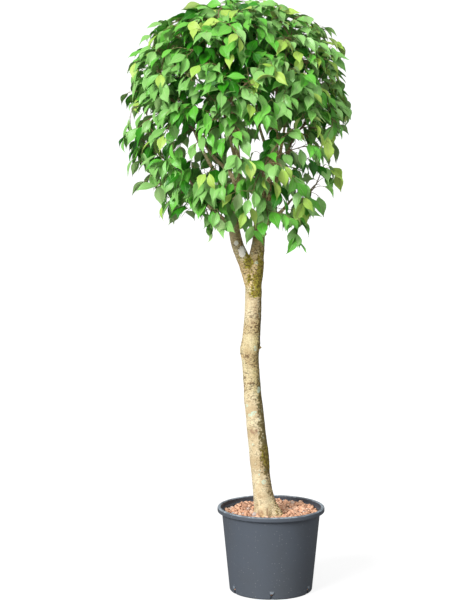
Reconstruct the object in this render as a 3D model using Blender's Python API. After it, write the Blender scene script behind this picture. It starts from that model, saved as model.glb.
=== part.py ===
"""A weeping fig grown as a standard: a clear trunk that forks under a round, leafy crown, in a nursery pot.

Metres, +Z up. The origin is the centre of the pot's flat underside, and the plant's front faces -Y.
Bearings are in degrees from +X, turning towards +Y.

The pot is turned. The trunk is a stack of level rings that swell at the old pruning scars and flare at the
roots. Two stems leave its fork, and a bough leaves a stem for each mass of leaves. The masses share out the
crown between them: each has a stem, twigs that arch out to points spread evenly over the crown, and leaves
that hang from the twigs.
"""

import math
import random

import bmesh
import bpy
from mathutils import Vector, geometry
from mathutils.bvhtree import BVHTree

# Clearance between two pieces that touch, and the distance at which two corners are the same one.
GAP = 0.0003
WELD = 0.000002

# Pot: a turned shell with a rolled rim, and slots near its foot that let water out.
POT_HEIGHT = 0.280
POT_RIM_RADIUS = 0.1775
POT_NECK_RADIUS = 0.1630
POT_FOOT_RADIUS = 0.1375
POT_WALL = 0.0030
POT_FOOT_CHAMFER = 0.006
RIM_DEPTH = 0.016
RIM_ROUND = 0.0035
RIM_INNER_RADIUS = 0.1660
POT_SIDES = 40
SLOT_COUNT = 6
SLOT_WIDTH = 0.012
SLOT_WAIST = 0.007
SLOT_BOTTOM = 0.012
SLOT_TOP = 0.034

# Granules: the fill, heaped a little, with a rough top.
FILL_LEVEL = 0.2595
FILL_EDGE_DROP = 0.003
FILL_GRAIN = 0.020
FILL_ROUGHNESS = 0.0034
FILL_SEED = 5

# Trunk: the way its axis runs, from the granules to the fork, and the girth at each of those places.
TRUNK_SIDES = 14
TRUNK_RINGS = 26
TRUNK_TOP = 1.058
TRUNK_AXIS = (
    Vector((-0.018, -0.036, 0.260)),
    Vector((-0.032, -0.032, 0.364)),
    Vector((-0.054, -0.024, 0.584)),
    Vector((-0.067, -0.015, 0.745)),
    Vector((-0.066, -0.012, 0.825)),
    Vector((-0.060, -0.008, 0.940)),
    Vector((-0.058, -0.005, 1.058)),
)
TRUNK_RADII = (0.0320, 0.0308, 0.0302, 0.0272, 0.0282, 0.0276, 0.0255)
# Root toes: bearing, how far the toe stands out, and how high up the trunk it begins.
ROOT_TOES = (
    (-8.0, 0.0270, 0.040),
    (-98.0, 0.0200, 0.030),
    (78.0, 0.0140, 0.034),
    (168.0, 0.0090, 0.030),
)
TOE_SHARPNESS = 5
# Scars of cut branches: height, bearing, how far the scar stands out, half its height.
SCARS = (
    (0.802, 178.0, 0.0085, 0.030),
    (0.822, -10.0, 0.0022, 0.012),
    (0.455, 5.0, 0.0028, 0.040),
    (0.640, -150.0, 0.0024, 0.022),
    (0.560, 100.0, 0.0036, 0.024),
)
SCAR_SHARPNESS = 3

# Leaders: the two limbs that rise from inside the trunk's top, with the girth at each key. Up to FORK_TOP a
# leader is an arm of the fork and belongs to the trunk. Above it, it is a stem of its own.
LEADER_RINGS = 17
ARM_SIDES = 14
STEM_SIDES = 10
FORK_TOP = 1.150
LEFT_LEADER = (
    (Vector((-0.062, -0.006, 1.005)), 0.0215),
    (Vector((-0.080, -0.008, 1.072)), 0.0235),
    (Vector((-0.098, -0.011, 1.114)), 0.0212),
    (Vector((-0.112, -0.014, 1.150)), 0.0202),
    (Vector((-0.125, -0.020, 1.221)), 0.0178),
    (Vector((-0.123, -0.027, 1.296)), 0.0150),
    (Vector((-0.112, -0.034, 1.420)), 0.0108),
    (Vector((-0.127, -0.036, 1.600)), 0.0058),
)
RIGHT_LEADER = (
    (Vector((-0.058, -0.004, 1.005)), 0.0240),
    (Vector((-0.053, 0.000, 1.072)), 0.0275),
    (Vector((-0.048, 0.004, 1.114)), 0.0245),
    (Vector((-0.043, 0.008, 1.150)), 0.0210),
    (Vector((-0.038, 0.015, 1.221)), 0.0190),
    (Vector((-0.022, 0.023, 1.320)), 0.0150),
    (Vector((0.012, 0.034, 1.440)), 0.0108),
    (Vector((0.014, 0.042, 1.600)), 0.0058),
)

# Crown: a dome with a flatter top, boxier than a ball, that hangs lower than it rises.
CROWN_CENTRE = Vector((-0.108, 0.000, 1.640))
CROWN_RADIUS = 0.350
CROWN_RISE = 0.288
CROWN_DROP = 0.455
CROWN_UPPER_POWER = 2.5
CROWN_LOWER_POWER = 3.0
CROWN_WAVES = 0.035

# Masses: tiers of leaf masses. Height, distance from the crown's axis, how many, bearing of the first, and
# the span of heights at which their boughs leave the stems. In the highest tier the first mass on each side
# grows from the tip of its stem instead. Masses of a tier stand by turns higher and lower by TIER_STAGGER.
TIER_STAGGER = 0.040
TIERS = (
    ("low", 1.375, 0.225, 6, -10.0, (1.200, 1.270)),
    ("mid", 1.600, 0.235, 6, 20.0, (1.310, 1.400)),
    ("high", 1.800, 0.165, 4, -20.0, (None, 1.490)),
)
MASS_MARGIN = 0.0015
BOUGH_SIDES = 6
BOUGH_RINGS = 7
BOUGH_SHARE = 0.62
BOUGH_FOOT_SHARE = 0.62
BOUGH_TIP_RADIUS = 0.0044
LIMB_CLEARANCE = 0.004

# Twigs and leaves. A leaf is larger than a real one, which is 50 to 70 mm long, because there are fewer.
SPRAYS = 126
SPRAY_INSET = 0.84
STRAY_EVERY = 9
STRAY_REACH = 0.14
INNER_EVERY = 8
INNER_INSET = 0.58
LOWEST_SPRAY = -0.93
# Sprays that stand out of the crown, or hang below it: bearing, distance from the crown's axis, height.
LONE_SPRAYS = (
    (183.0, 0.350, 1.512),
    (-3.0, 0.335, 1.600),
    (172.0, 0.345, 1.640),
    (-40.0, 0.215, 1.262),
    (-128.0, 0.175, 1.268),
    (62.0, 0.200, 1.268),
    (88.0, 0.345, 1.520),
    (-82.0, 0.345, 1.650),
)
TWIG_SEED = 21
STEM_RADIUS = 0.0038
TWIG_RADIUS = 0.0026
TWIG_TIP_RADIUS = 0.0016
TWIG_RINGS = 3
LEAVES_PER_TWIG = 6
LEAF_TRIES = 24
TWIG_TRIES = 9
TWIG_ARCH = 0.15
LEAF_REACH = 1.03
LEAF_LENGTH = 0.100
LEAF_WIDTH = 0.060
LEAF_FOLD = 0.0055
LEAF_CURL = 0.0100
WIDEST_AT = 0.40
GOLDEN_ANGLE = math.pi * (3.0 - math.sqrt(5.0))

UP = Vector((0.0, 0.0, 1.0))


# ---- Scene and materials ----


def clear_scene():
    """Removes what the scene holds."""
    for thing in list(bpy.data.objects):
        bpy.data.objects.remove(thing)


def plain_material(name, colour, roughness):
    """A Principled material of one colour."""
    material = bpy.data.materials.new(name)
    material.use_nodes = True
    shader = material.node_tree.nodes["Principled BSDF"]
    shader.inputs["Base Color"].default_value = (*colour, 1.0)
    shader.inputs["Roughness"].default_value = roughness
    shader.inputs["Metallic"].default_value = 0.0
    material.diffuse_color = (*colour, 1.0)
    return material


def new_object(name, points, faces, material=None, home=None):
    """An object made of these points and faces, in the scene or in the collection home."""
    mesh = bpy.data.meshes.new(name)
    mesh.from_pydata([tuple(p) for p in points], [], faces)
    mesh.update()
    thing = bpy.data.objects.new(name, mesh)
    (home or bpy.context.scene.collection).objects.link(thing)
    if material:
        mesh.materials.append(material)
    return thing


def as_cutter(thing):
    """Marks an object as one that only cuts others."""
    thing.hide_render = True
    thing.display_type = "WIRE"
    return thing


def add_boolean(thing, other, operation):
    """Adds a Boolean modifier that joins other to thing, or cuts thing with it."""
    modifier = thing.modifiers.new(operation.lower(), "BOOLEAN")
    modifier.operation = operation
    modifier.solver = "EXACT"
    modifier.object = other


def round_shading(thing, angle=40.0):
    """Shades a round piece smooth, with its sharp edges kept."""
    thing.data.shade_smooth()
    thing.data.set_sharp_from_angle(angle=math.radians(angle))


# ---- Paths ----


def bearing_vector(bearing):
    """The level direction at a bearing in degrees."""
    turn = math.radians(bearing)
    return Vector((math.cos(turn), math.sin(turn), 0.0))


def through(keys, share):
    """The point a share of the way along a smooth curve through the keys, which are points or numbers."""
    place = share * (len(keys) - 1)
    i = min(int(place), len(keys) - 2)
    t = place - i
    a, b = keys[i], keys[i + 1]
    before = keys[i - 1] if i > 0 else a + (a - b)
    after = keys[i + 2] if i + 2 < len(keys) else b + (b - a)
    return 0.5 * (
        2 * a
        + (b - before) * t
        + (2 * before - 5 * a + 4 * b - after) * t**2
        + (3 * a - before - 3 * b + after) * t**3
    )


def spaced(keys, values, count):
    """(points, values) at count places, evenly spaced along the smooth curve through the keys."""
    fine = 24 * (len(keys) - 1)
    shares = [k / fine for k in range(fine + 1)]
    points = [through(keys, s) for s in shares]
    walked = [0.0]
    for a, b in zip(points, points[1:]):
        walked.append(walked[-1] + (b - a).length)
    chosen = []
    k = 0
    for n in range(count):
        wanted = walked[-1] * n / (count - 1)
        while k < fine - 1 and walked[k + 1] < wanted:
            k += 1
        part = (wanted - walked[k]) / (walked[k + 1] - walked[k])
        chosen.append(shares[k] + part / fine)
    return [through(keys, s) for s in chosen], [through(values, s) for s in chosen]


def bezier(a, b, c, d, t):
    """The point at t on the cubic curve with these four controls."""
    s = 1.0 - t
    return a * s**3 + b * (3 * s * s * t) + c * (3 * s * t * t) + d * t**3


def directions_along(points):
    """The direction of a path at each of its points."""
    last = len(points) - 1
    return [
        (points[min(i + 1, last)] - points[max(i - 1, 0)]).normalized()
        for i in range(last + 1)
    ]


def tube(points, radii, sides, ahead=None):
    """(points, faces) of a closed tube round a path, with each ring square to it, or to the directions ahead."""
    ahead = ahead or directions_along(points)
    across = ahead[0].orthogonal().normalized()
    corners = []
    for centre, direction, radius in zip(points, ahead, radii):
        across = (across - direction * across.dot(direction)).normalized()
        other = direction.cross(across)
        for k in range(sides):
            turn = 2 * math.pi * k / sides
            corners.append(centre + (across * math.cos(turn) + other * math.sin(turn)) * radius)
    return corners, tube_faces(len(points), sides)


def tube_faces(rings, sides):
    """The faces of a closed tube whose corners come ring by ring."""
    faces = [tuple(reversed(range(sides)))]
    for r in range(rings - 1):
        for k in range(sides):
            a, b = r * sides + k, r * sides + (k + 1) % sides
            faces.append((a, b, b + sides, a + sides))
    faces.append(tuple(range((rings - 1) * sides, rings * sides)))
    return faces


# ---- Pot and granules ----


def pot_profile():
    """The pot's section as (radius, height), from the middle of its underside round to its inner floor."""
    neck = POT_HEIGHT - RIM_DEPTH
    foot, chamfer = POT_FOOT_RADIUS, POT_FOOT_CHAMFER
    return [
        (0.0, 0.0),
        (foot - chamfer, 0.0),
        (foot, chamfer),
        (POT_NECK_RADIUS, neck),
        (POT_RIM_RADIUS - RIM_ROUND, neck),
        (POT_RIM_RADIUS, neck + RIM_ROUND),
        (POT_RIM_RADIUS, POT_HEIGHT - RIM_ROUND),
        (POT_RIM_RADIUS - RIM_ROUND, POT_HEIGHT),
        (RIM_INNER_RADIUS + RIM_ROUND, POT_HEIGHT),
        (RIM_INNER_RADIUS, POT_HEIGHT - RIM_ROUND),
        (RIM_INNER_RADIUS, neck + POT_WALL),
        (POT_NECK_RADIUS - POT_WALL, neck - POT_WALL),
        (foot - POT_WALL, chamfer + POT_WALL),
        (foot - chamfer - POT_WALL, POT_WALL),
        (0.0, POT_WALL),
    ]


def inner_radius(height):
    """The radius of the pot's inner wall at a height between its foot and its rim."""
    low, high = POT_FOOT_CHAMFER + POT_WALL, POT_HEIGHT - RIM_DEPTH - POT_WALL
    share = (height - low) / (high - low)
    return POT_FOOT_RADIUS * (1 - share) + POT_NECK_RADIUS * share - POT_WALL


def turned(name, profile, sides, material):
    """A closed object turned from a profile that starts and ends on the axis."""
    points = [Vector((0.0, 0.0, profile[0][1]))]
    for radius, height in profile[1:-1]:
        for k in range(sides):
            points.append(bearing_vector(360.0 * k / sides) * radius + UP * height)
    points.append(Vector((0.0, 0.0, profile[-1][1])))
    faces, rows = [], len(profile) - 2
    for k in range(sides):
        after = (k + 1) % sides
        faces.append((0, 1 + after, 1 + k))
        for r in range(rows - 1):
            a, b = 1 + r * sides + k, 1 + r * sides + after
            faces.append((a, b, b + sides, a + sides))
        top = 1 + (rows - 1) * sides
        faces.append((top + k, top + after, len(points) - 1))
    return new_object(name, points, faces, material)


def slot_cutter(bearing):
    """A cutter for one drain slot, narrow at its waist, that runs out through the wall."""
    out = bearing_vector(bearing)
    side = UP.cross(out)
    waist = (SLOT_BOTTOM + SLOT_TOP) / 2
    outline = [
        (-SLOT_WIDTH / 2, SLOT_BOTTOM),
        (SLOT_WIDTH / 2, SLOT_BOTTOM),
        (SLOT_WAIST / 2, waist),
        (SLOT_WIDTH / 2, SLOT_TOP),
        (-SLOT_WIDTH / 2, SLOT_TOP),
        (-SLOT_WAIST / 2, waist),
    ]
    near, far = POT_FOOT_RADIUS - 5 * POT_WALL, POT_FOOT_RADIUS + 5 * POT_WALL
    points = [out * r + side * x + UP * z for r in (near, far) for x, z in outline]
    faces = tube_faces(2, len(outline))
    return as_cutter(new_object(f"slot_cutter_{round(bearing)}", points, faces))


def make_pot(material):
    """The pot, with its drain slots cut. One slot faces the front."""
    pot = turned("pot", pot_profile(), POT_SIDES, material)
    round_shading(pot, 30.0)
    for k in range(SLOT_COUNT):
        add_boolean(pot, slot_cutter(-90.0 + 360.0 * k / SLOT_COUNT), "DIFFERENCE")
    return pot


def make_granules(material):
    """The fill: a plug that follows the pot's wall, with a rough top of granule-sized bumps."""
    rng = random.Random(FILL_SEED)
    top_radius = inner_radius(FILL_LEVEL) - 2 * GAP
    grid = []
    rows = int(top_radius / (FILL_GRAIN * math.sqrt(0.75))) + 1
    for row in range(-rows, rows + 1):
        for column in range(-rows - 1, rows + 2):
            x = (column + 0.5 * (row % 2)) * FILL_GRAIN + rng.uniform(-0.2, 0.2) * FILL_GRAIN
            y = row * FILL_GRAIN * math.sqrt(0.75) + rng.uniform(-0.2, 0.2) * FILL_GRAIN
            if math.hypot(x, y) < top_radius - 0.55 * FILL_GRAIN:
                grid.append(Vector((x, y)))
    edge = [bearing_vector(360.0 * k / POT_SIDES).to_2d() * top_radius for k in range(POT_SIDES)]
    flat = edge + grid
    loop = [(k, (k + 1) % POT_SIDES) for k in range(POT_SIDES)]
    spots, _, cells, *_ = geometry.delaunay_2d_cdt(flat, loop, [], 1, 1e-6)
    points = []
    for spot in spots:
        share = spot.length / top_radius
        height = FILL_LEVEL - FILL_EDGE_DROP * share**2
        if share < 0.999:
            height += rng.uniform(-0.6, 1.0) * FILL_ROUGHNESS
        points.append(Vector((spot.x, spot.y, height)))
    rim = [k for k, spot in enumerate(spots) if spot.length / top_radius > 0.999]
    rim.sort(key=lambda k: math.atan2(spots[k].y, spots[k].x))
    faces = [tuple(cell) for cell in cells]
    knee = POT_FOOT_CHAMFER + POT_WALL
    below = ((inner_radius(knee) - 2 * GAP, knee), (inner_radius(knee) - POT_FOOT_CHAMFER - 2 * GAP, POT_WALL + GAP))
    upper = rim
    for radius, height in below:
        start = len(points)
        for k in rim:
            points.append(Vector((*(spots[k].normalized() * radius), height)))
        lower = list(range(start, start + len(rim)))
        for k in range(len(rim)):
            after = (k + 1) % len(rim)
            faces.append((upper[k], lower[k], lower[after], upper[after]))
        upper = lower
    faces.append(tuple(reversed(upper)))
    return new_object("granules", points, faces, material)


# ---- Trunk and limbs ----


def trunk_axis(height):
    """The middle of the trunk at a height, and its radius there."""
    low, high = 0.0, 1.0
    for _ in range(30):
        share = (low + high) / 2
        if through(TRUNK_AXIS, share).z < height:
            low = share
        else:
            high = share
    return through(TRUNK_AXIS, share), through(TRUNK_RADII, share)


def trunk_radius(height, bearing, radius):
    """The trunk's radius at a height and bearing: its girth there, with root toes and scars."""
    for toe_bearing, rise, reach in ROOT_TOES:
        facing = max(0.0, math.cos(math.radians(bearing - toe_bearing)))
        fall = math.exp(-(((height - FILL_LEVEL) / reach) ** 1.3))
        radius += rise * facing**TOE_SHARPNESS * fall
    for scar_height, scar_bearing, rise, half in SCARS:
        facing = max(0.0, math.cos(math.radians(bearing - scar_bearing)))
        fall = math.exp(-(((height - scar_height) / half) ** 2))
        radius += rise * facing**SCAR_SHARPNESS * fall
    return radius


def trunk_rings():
    """The heights of the trunk's rings, closer together over the root flare."""
    span = TRUNK_TOP - FILL_LEVEL
    return [FILL_LEVEL + span * (k / (TRUNK_RINGS - 1)) ** 1.35 for k in range(TRUNK_RINGS)]


def trunk_body(name, material, grow=0.0):
    """The trunk below the fork, cut flat at the granules. With grow, a cutter that is larger all over."""
    points = []
    for height in trunk_rings():
        centre, radius = trunk_axis(height)
        for k in range(TRUNK_SIDES):
            bearing = 360.0 * k / TRUNK_SIDES
            out = trunk_radius(height, bearing, radius) + grow
            points.append(Vector((centre.x, centre.y, height)) + bearing_vector(bearing) * out)
    for k in range(TRUNK_SIDES):
        points[k].z -= grow
    return new_object(name, points, tube_faces(TRUNK_RINGS, TRUNK_SIDES), material)


class Limb:
    """A tapering limb: the rings along it as points, radii and the directions they are square to."""

    def __init__(self, keys, rings):
        self.points, self.radii = spaced([p for p, _ in keys], [r for _, r in keys], rings)
        self.ahead = directions_along(self.points)

    def part(self, first, last, skip=0.0):
        """The part of the limb between two of its rings, with its foot moved along by skip."""
        other = Limb.__new__(Limb)
        other.points = list(self.points[first : last + 1])
        other.radii = self.radii[first : last + 1]
        other.ahead = self.ahead[first : last + 1]
        other.points[0] = other.points[0] + other.ahead[0] * skip
        return other

    def ring_at(self, height):
        """The number of the ring nearest to a height."""
        return min(range(len(self.points)), key=lambda k: abs(self.points[k].z - height))

    def at_height(self, height):
        """(point, direction, radius) of a rising limb at a height."""
        k = next(i for i in range(len(self.points) - 1) if self.points[i + 1].z > height)
        a, b = self.points[k], self.points[k + 1]
        t = (height - a.z) / (b.z - a.z)
        ahead = self.ahead[k].lerp(self.ahead[k + 1], t).normalized()
        return a.lerp(b, t), ahead, self.radii[k] + (self.radii[k + 1] - self.radii[k]) * t

    def build(self, name, sides, material, grow=0.0):
        """The limb as an object. With grow, it is larger all over, as a cutter."""
        radii = [radius + grow for radius in self.radii]
        thing = new_object(name, *tube(self.points, radii, sides, self.ahead), material)
        round_shading(thing, 60.0)
        return thing


def split_leader(keys):
    """(arm, stem): the parts of a leader below and above the fork's top."""
    leader = Limb(keys, LEADER_RINGS)
    cut = leader.ring_at(FORK_TOP)
    return leader.part(0, cut), leader.part(cut, LEADER_RINGS - 1, GAP)


def make_trunk(material):
    """The trunk with the two arms of its fork, which end flat where the stems begin."""
    trunk = trunk_body("trunk", material)
    for name, keys in (("left_arm", LEFT_LEADER), ("right_arm", RIGHT_LEADER)):
        arm, _ = split_leader(keys)
        add_boolean(trunk, as_cutter(arm.build(name, ARM_SIDES, material)), "UNION")
    round_shading(trunk, 60.0)
    return trunk


def seat_in_granules(granules):
    """Cuts the granules back from the trunk's foot."""
    add_boolean(granules, as_cutter(trunk_body("foot_cutter", None, GAP)), "DIFFERENCE")


# ---- Crown ----


def crown_reach(direction):
    """How far the crown's outline stands from its centre in a direction."""
    flat = math.hypot(direction.x, direction.y)
    if direction.z > 0:
        height, power = CROWN_RISE, CROWN_UPPER_POWER
    else:
        height, power = CROWN_DROP, CROWN_LOWER_POWER
    sum_of_powers = (flat / CROWN_RADIUS) ** power + (abs(direction.z) / height) ** power
    bearing = math.atan2(direction.y, direction.x)
    wave = math.sin(3 * bearing + 4 * direction.z) + math.sin(5 * bearing - 7 * direction.z)
    return sum_of_powers ** (-1 / power) * (1 + CROWN_WAVES * 0.5 * wave)


def side_name(bearing):
    """A plain name for the side of the crown at a bearing."""
    out = bearing_vector(bearing)
    words = []
    if abs(out.x) > 0.5:
        words.append("right" if out.x > 0 else "left")
    if abs(out.y) > 0.5:
        words.append("back" if out.y > 0 else "front")
    return "_".join(words)


def plan_masses():
    """The masses of the crown, as dicts of name, centre, the stem that carries it and where its bough leaves."""
    masses = []
    for tier, height, distance, count, first, (lowest, highest) in TIERS:
        bearings = [(first + 360.0 * k / count) % 360.0 for k in range(count)]
        sides = {"left": [b for b in bearings if 91.0 < b < 271.0]}
        sides["right"] = [b for b in bearings if b not in sides["left"]]
        for side, sector in sides.items():
            for rank, bearing in enumerate(sorted(sector, key=depth_order)):
                if lowest is None:
                    leaves_at = highest if rank else None
                else:
                    leaves_at = lowest + (highest - lowest) * rank / (len(sector) - 1)
                stagger = TIER_STAGGER if bearings.index(bearing) % 2 else -TIER_STAGGER
                centre = Vector((CROWN_CENTRE.x, CROWN_CENTRE.y, height + stagger))
                masses.append(
                    {
                        "name": f"{tier}_{side_name(bearing)}",
                        "centre": centre + bearing_vector(bearing) * distance,
                        "stem": side,
                        "leaves_at": leaves_at,
                    }
                )
    return masses


def depth_order(bearing):
    """Puts a bearing straight to the side first, then one to the front, then one to the back."""
    out = bearing_vector(bearing)
    return abs(out.y) + (0.01 if out.y > 0 else 0.0)


def plan_bough(mass, stem):
    """The bough that carries a mass: it leaves the stem at a slant and turns up towards the mass."""
    foot, along, girth = stem.at_height(mass["leaves_at"])
    reach = mass["centre"] - foot
    tip = foot + reach * BOUGH_SHARE
    span = (tip - foot).length
    out = Vector((reach.x, reach.y, 0.0)).normalized()
    first = foot + (along * 0.55 + out * 0.65).normalized() * span * 0.36
    second = tip - (reach.normalized() * 0.8 + UP * 0.35).normalized() * span * 0.34
    thick = girth * BOUGH_FOOT_SHARE
    keys = []
    for k in range(5):
        t = k / 4
        radius = thick + (BOUGH_TIP_RADIUS - thick) * t**0.8
        keys.append((bezier(foot, first, second, tip, t), radius))
    return Limb(keys, BOUGH_RINGS)


def limb_samples(limb, between=4):
    """Points along a limb with its radius at each, several to each span between rings."""
    samples = []
    rings = list(zip(limb.points, limb.radii))
    for (a, start), (b, end) in zip(rings, rings[1:]):
        for k in range(between):
            t = k / between
            samples.append((a.lerp(b, t), start + (end - start) * t))
    return samples + [rings[-1]]


def overhang(point):
    """How far out a point stands, as a share of the crown's reach in its direction."""
    out = point - CROWN_CENTRE
    return out.length / crown_reach(out.normalized())


def in_cell(point, own, centres, margin):
    """Whether a point is nearer to its own mass's centre than to any other, by a margin to the border."""
    for other in centres:
        if other is own:
            continue
        apart = other - own
        if (point - (own + other) / 2).dot(apart) / apart.length > -margin:
            return False
    return True


def clear_of_limbs(points, samples, room):
    """Whether all points stand clear of the limbs' surfaces."""
    return all((p - q).length > r + room for p in points for q, r in samples)


def spray_points():
    """The points over the crown that twigs reach for, spread evenly by the golden angle."""
    spots = []
    for k in range(SPRAYS):
        z = 1.0 - (2 * k + 1) / SPRAYS
        if z < LOWEST_SPRAY:
            continue
        flat = math.sqrt(1 - z * z)
        turn = k * GOLDEN_ANGLE
        direction = Vector((flat * math.cos(turn), flat * math.sin(turn), z))
        inset = SPRAY_INSET + 0.10 * z**2
        if k % STRAY_EVERY == 0 and abs(z) < 0.6:
            inset += STRAY_REACH
        if k % INNER_EVERY == 2:
            inset = INNER_INSET
        spots.append(CROWN_CENTRE + direction * crown_reach(direction) * inset)
    for bearing, distance, height in LONE_SPRAYS:
        axis = Vector((CROWN_CENTRE.x, CROWN_CENTRE.y, height))
        spots.append(axis + bearing_vector(bearing) * distance)
    return spots


# ---- Twigs and leaves ----


def leaf_points(root, along, normal, size):
    """The four corners of a leaf, which is folded along its midrib: root, one side, tip and other side."""
    across = normal.cross(along).normalized()
    length, half = LEAF_LENGTH * size, LEAF_WIDTH * size / 2
    widest = root + along * (WIDEST_AT * length) + normal * LEAF_FOLD * size
    return [
        root,
        widest + across * half,
        root + along * length - normal * LEAF_CURL * size,
        widest - across * half,
    ]


LEAF_FACES = ((0, 1, 2), (0, 2, 3), (0, 3, 1), (1, 3, 2))


def twig_path(start, toward, end, arch):
    """Three or more points from start, leaving along toward, that arch over to end."""
    span = (end - start).length
    first = start + toward * span * 0.30 + UP * span * arch * 0.5
    second = end - (end - start) * 0.25 + UP * span * arch
    return [bezier(start, first, second, end, k / (TWIG_RINGS - 1)) for k in range(TWIG_RINGS)]


def leaf_pose(rng, point, ahead, side, freedom):
    """(direction, normal) of a leaf at a point on a twig: it hangs out and down, and shows its upper face."""
    out = Vector((point.x - CROWN_CENTRE.x, point.y - CROWN_CENTRE.y, 0.0))
    out = out.normalized() if out.length > 0.02 else bearing_vector(rng.uniform(0, 360))
    drop = 0.95 - 1.0 * max(0.0, (point.z - CROWN_CENTRE.z) / CROWN_RISE)
    across = ahead.cross(UP)
    across = across.normalized() if across.length > 0.2 else bearing_vector(rng.uniform(0, 360))
    along = out * 0.45 - UP * drop + across * side * 0.55 + ahead * 0.25
    along += Vector([rng.uniform(-freedom, freedom) for _ in range(3)])
    along.normalize()
    normal = out * 0.8 + UP * 0.75 + Vector([rng.uniform(-0.4, 0.4) for _ in range(3)])
    normal = (normal - along * normal.dot(along)).normalized()
    return along, normal


class Mass:
    """One mass of leaves as it grows: the space it keeps to, what stands in its way, and its pieces."""

    def __init__(self, name, own, centres, samples):
        self.name, self.own, self.centres, self.samples = name, own, centres, samples
        self.rng = random.Random(f"{TWIG_SEED} {name}")
        self.home = bpy.data.collections.new("twigs")
        self.trees = []

    def fits(self, points, margin):
        """Whether the points stand in the mass's own space and clear of the limbs."""
        if not all(in_cell(p, self.own, self.centres, margin) for p in points):
            return False
        return clear_of_limbs(points, self.samples, LIMB_CLEARANCE)

    def add(self, name, corners, faces):
        """Adds a piece to the mass."""
        new_object(name, corners, faces, home=self.home)
        self.trees.append(BVHTree.FromPolygons(corners, faces))

    def is_free(self, corners, twig):
        """Whether a leaf meets no other piece, and its own twig only at its root."""
        tree = BVHTree.FromPolygons(corners, LEAF_FACES)
        if any(tree.overlap(other) for other in self.trees if other is not twig):
            return False
        neck = corners[0].lerp(corners[2], 0.15)
        blade = BVHTree.FromPolygons([neck, *corners[1:]], LEAF_FACES)
        return not blade.overlap(twig)

    def grow_twig(self, root, axis, spot, arch):
        """A twig that arches from root out to a spot, if its way is clear."""
        path = twig_path(root, axis, spot, arch)
        halfway = [(a + b) / 2 for a, b in zip(path, path[1:])]
        if not self.fits(path + halfway, MASS_MARGIN + TWIG_RADIUS):
            return None
        step = (TWIG_TIP_RADIUS - TWIG_RADIUS) / (TWIG_RINGS - 1)
        girth = [TWIG_RADIUS + step * k for k in range(TWIG_RINGS)]
        free_part = [path[0].lerp(path[1], 0.35), *path[1:]]
        outer = BVHTree.FromPolygons(*tube(free_part, girth, 3))
        if any(outer.overlap(other) for other in self.trees):
            return None
        self.add("twig", *tube(path, girth, 3))
        return path

    def grow_leaves(self, path, rank):
        """Leaves along a twig, one at its tip and the rest on either side by turns."""
        ahead = directions_along(path)[-1]
        reach = max(LEAF_REACH, overhang(path[-1]) + 0.18)
        twig = self.trees[-1]
        for n in range(LEAVES_PER_TWIG):
            share = 0.97 - 0.62 * n / LEAVES_PER_TWIG - self.rng.uniform(0.0, 0.05)
            point = on_polyline(path, share)
            side = (1.0 if (n + rank) % 2 else -1.0) * (1.0 if n else 0.3)
            for attempt in range(LEAF_TRIES):
                freedom = 0.25 + 1.0 * attempt / LEAF_TRIES
                along, normal = leaf_pose(self.rng, point, ahead, side, freedom)
                corners = leaf_points(point, along, normal, self.rng.uniform(0.86, 1.10))
                body = corners[1:] + [(corners[0] + corners[2]) / 2]
                if max(overhang(corner) for corner in corners) > reach:
                    continue
                if self.fits(body, MASS_MARGIN) and self.is_free(corners, twig):
                    self.add("leaf", corners, LEAF_FACES)
                    break


def on_polyline(path, share):
    """The point a share of the way along straight pieces of equal count."""
    place = share * (len(path) - 1)
    k = min(int(place), len(path) - 2)
    return path[k].lerp(path[k + 1], place - k)


def grow_mass(mass, foot, ahead, spots, centres, samples, material):
    """One mass of leaves: a stem that carries on from the bough's tip, twigs to its spots, and their leaves."""
    own = mass["centre"]
    heart = own + (own - CROWN_CENTRE).normalized() * 0.02
    start = foot + ahead * GAP
    collar = start + ahead * 0.008
    bend = collar + ahead * (heart - collar).length * 0.40
    stem = [start] + [bezier(collar, bend, (bend + heart) / 2, heart, k / 3) for k in range(4)]
    radii = [STEM_RADIUS + (TWIG_RADIUS - STEM_RADIUS) * k / 4 for k in range(5)]
    body = new_object(f"leaves_{mass['name']}", *tube(stem, radii, 4), material)
    axis = (heart - start).normalized()
    order = sorted(spots, key=lambda spot: (spot - start).dot(axis))
    growth = Mass(mass["name"], own, centres, samples)
    growth.trees.append(BVHTree.FromPolygons(*tube(stem, radii, 4)))
    for rank, spot in enumerate(order):
        for attempt in range(TWIG_TRIES):
            place = 0.30 + 0.68 * (rank + 1) / len(order) - 0.03 * attempt
            aim = spot.lerp(own, 0.03 * attempt)
            path = growth.grow_twig(on_polyline(stem, place), axis, aim, TWIG_ARCH - 0.035 * attempt)
            if path:
                growth.grow_leaves(path, rank)
                break
    fuse(body, growth.home)


def fuse(body, home):
    """Joins a collection's objects to body with one Boolean union, and keeps the largest shell."""
    modifier = body.modifiers.new("join", "BOOLEAN")
    modifier.operation = "UNION"
    modifier.operand_type = "COLLECTION"
    modifier.collection = home
    modifier.solver = "EXACT"
    bpy.context.view_layer.update()
    graph = bpy.context.evaluated_depsgraph_get()
    joined = bpy.data.meshes.new_from_object(body.evaluated_get(graph))
    body.modifiers.clear()
    material = body.data.materials[0]
    body.data = joined
    joined.materials.clear()
    joined.materials.append(material)
    for thing in list(home.objects):
        bpy.data.objects.remove(thing)
    bpy.data.collections.remove(home)
    keep_largest(joined)


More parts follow.
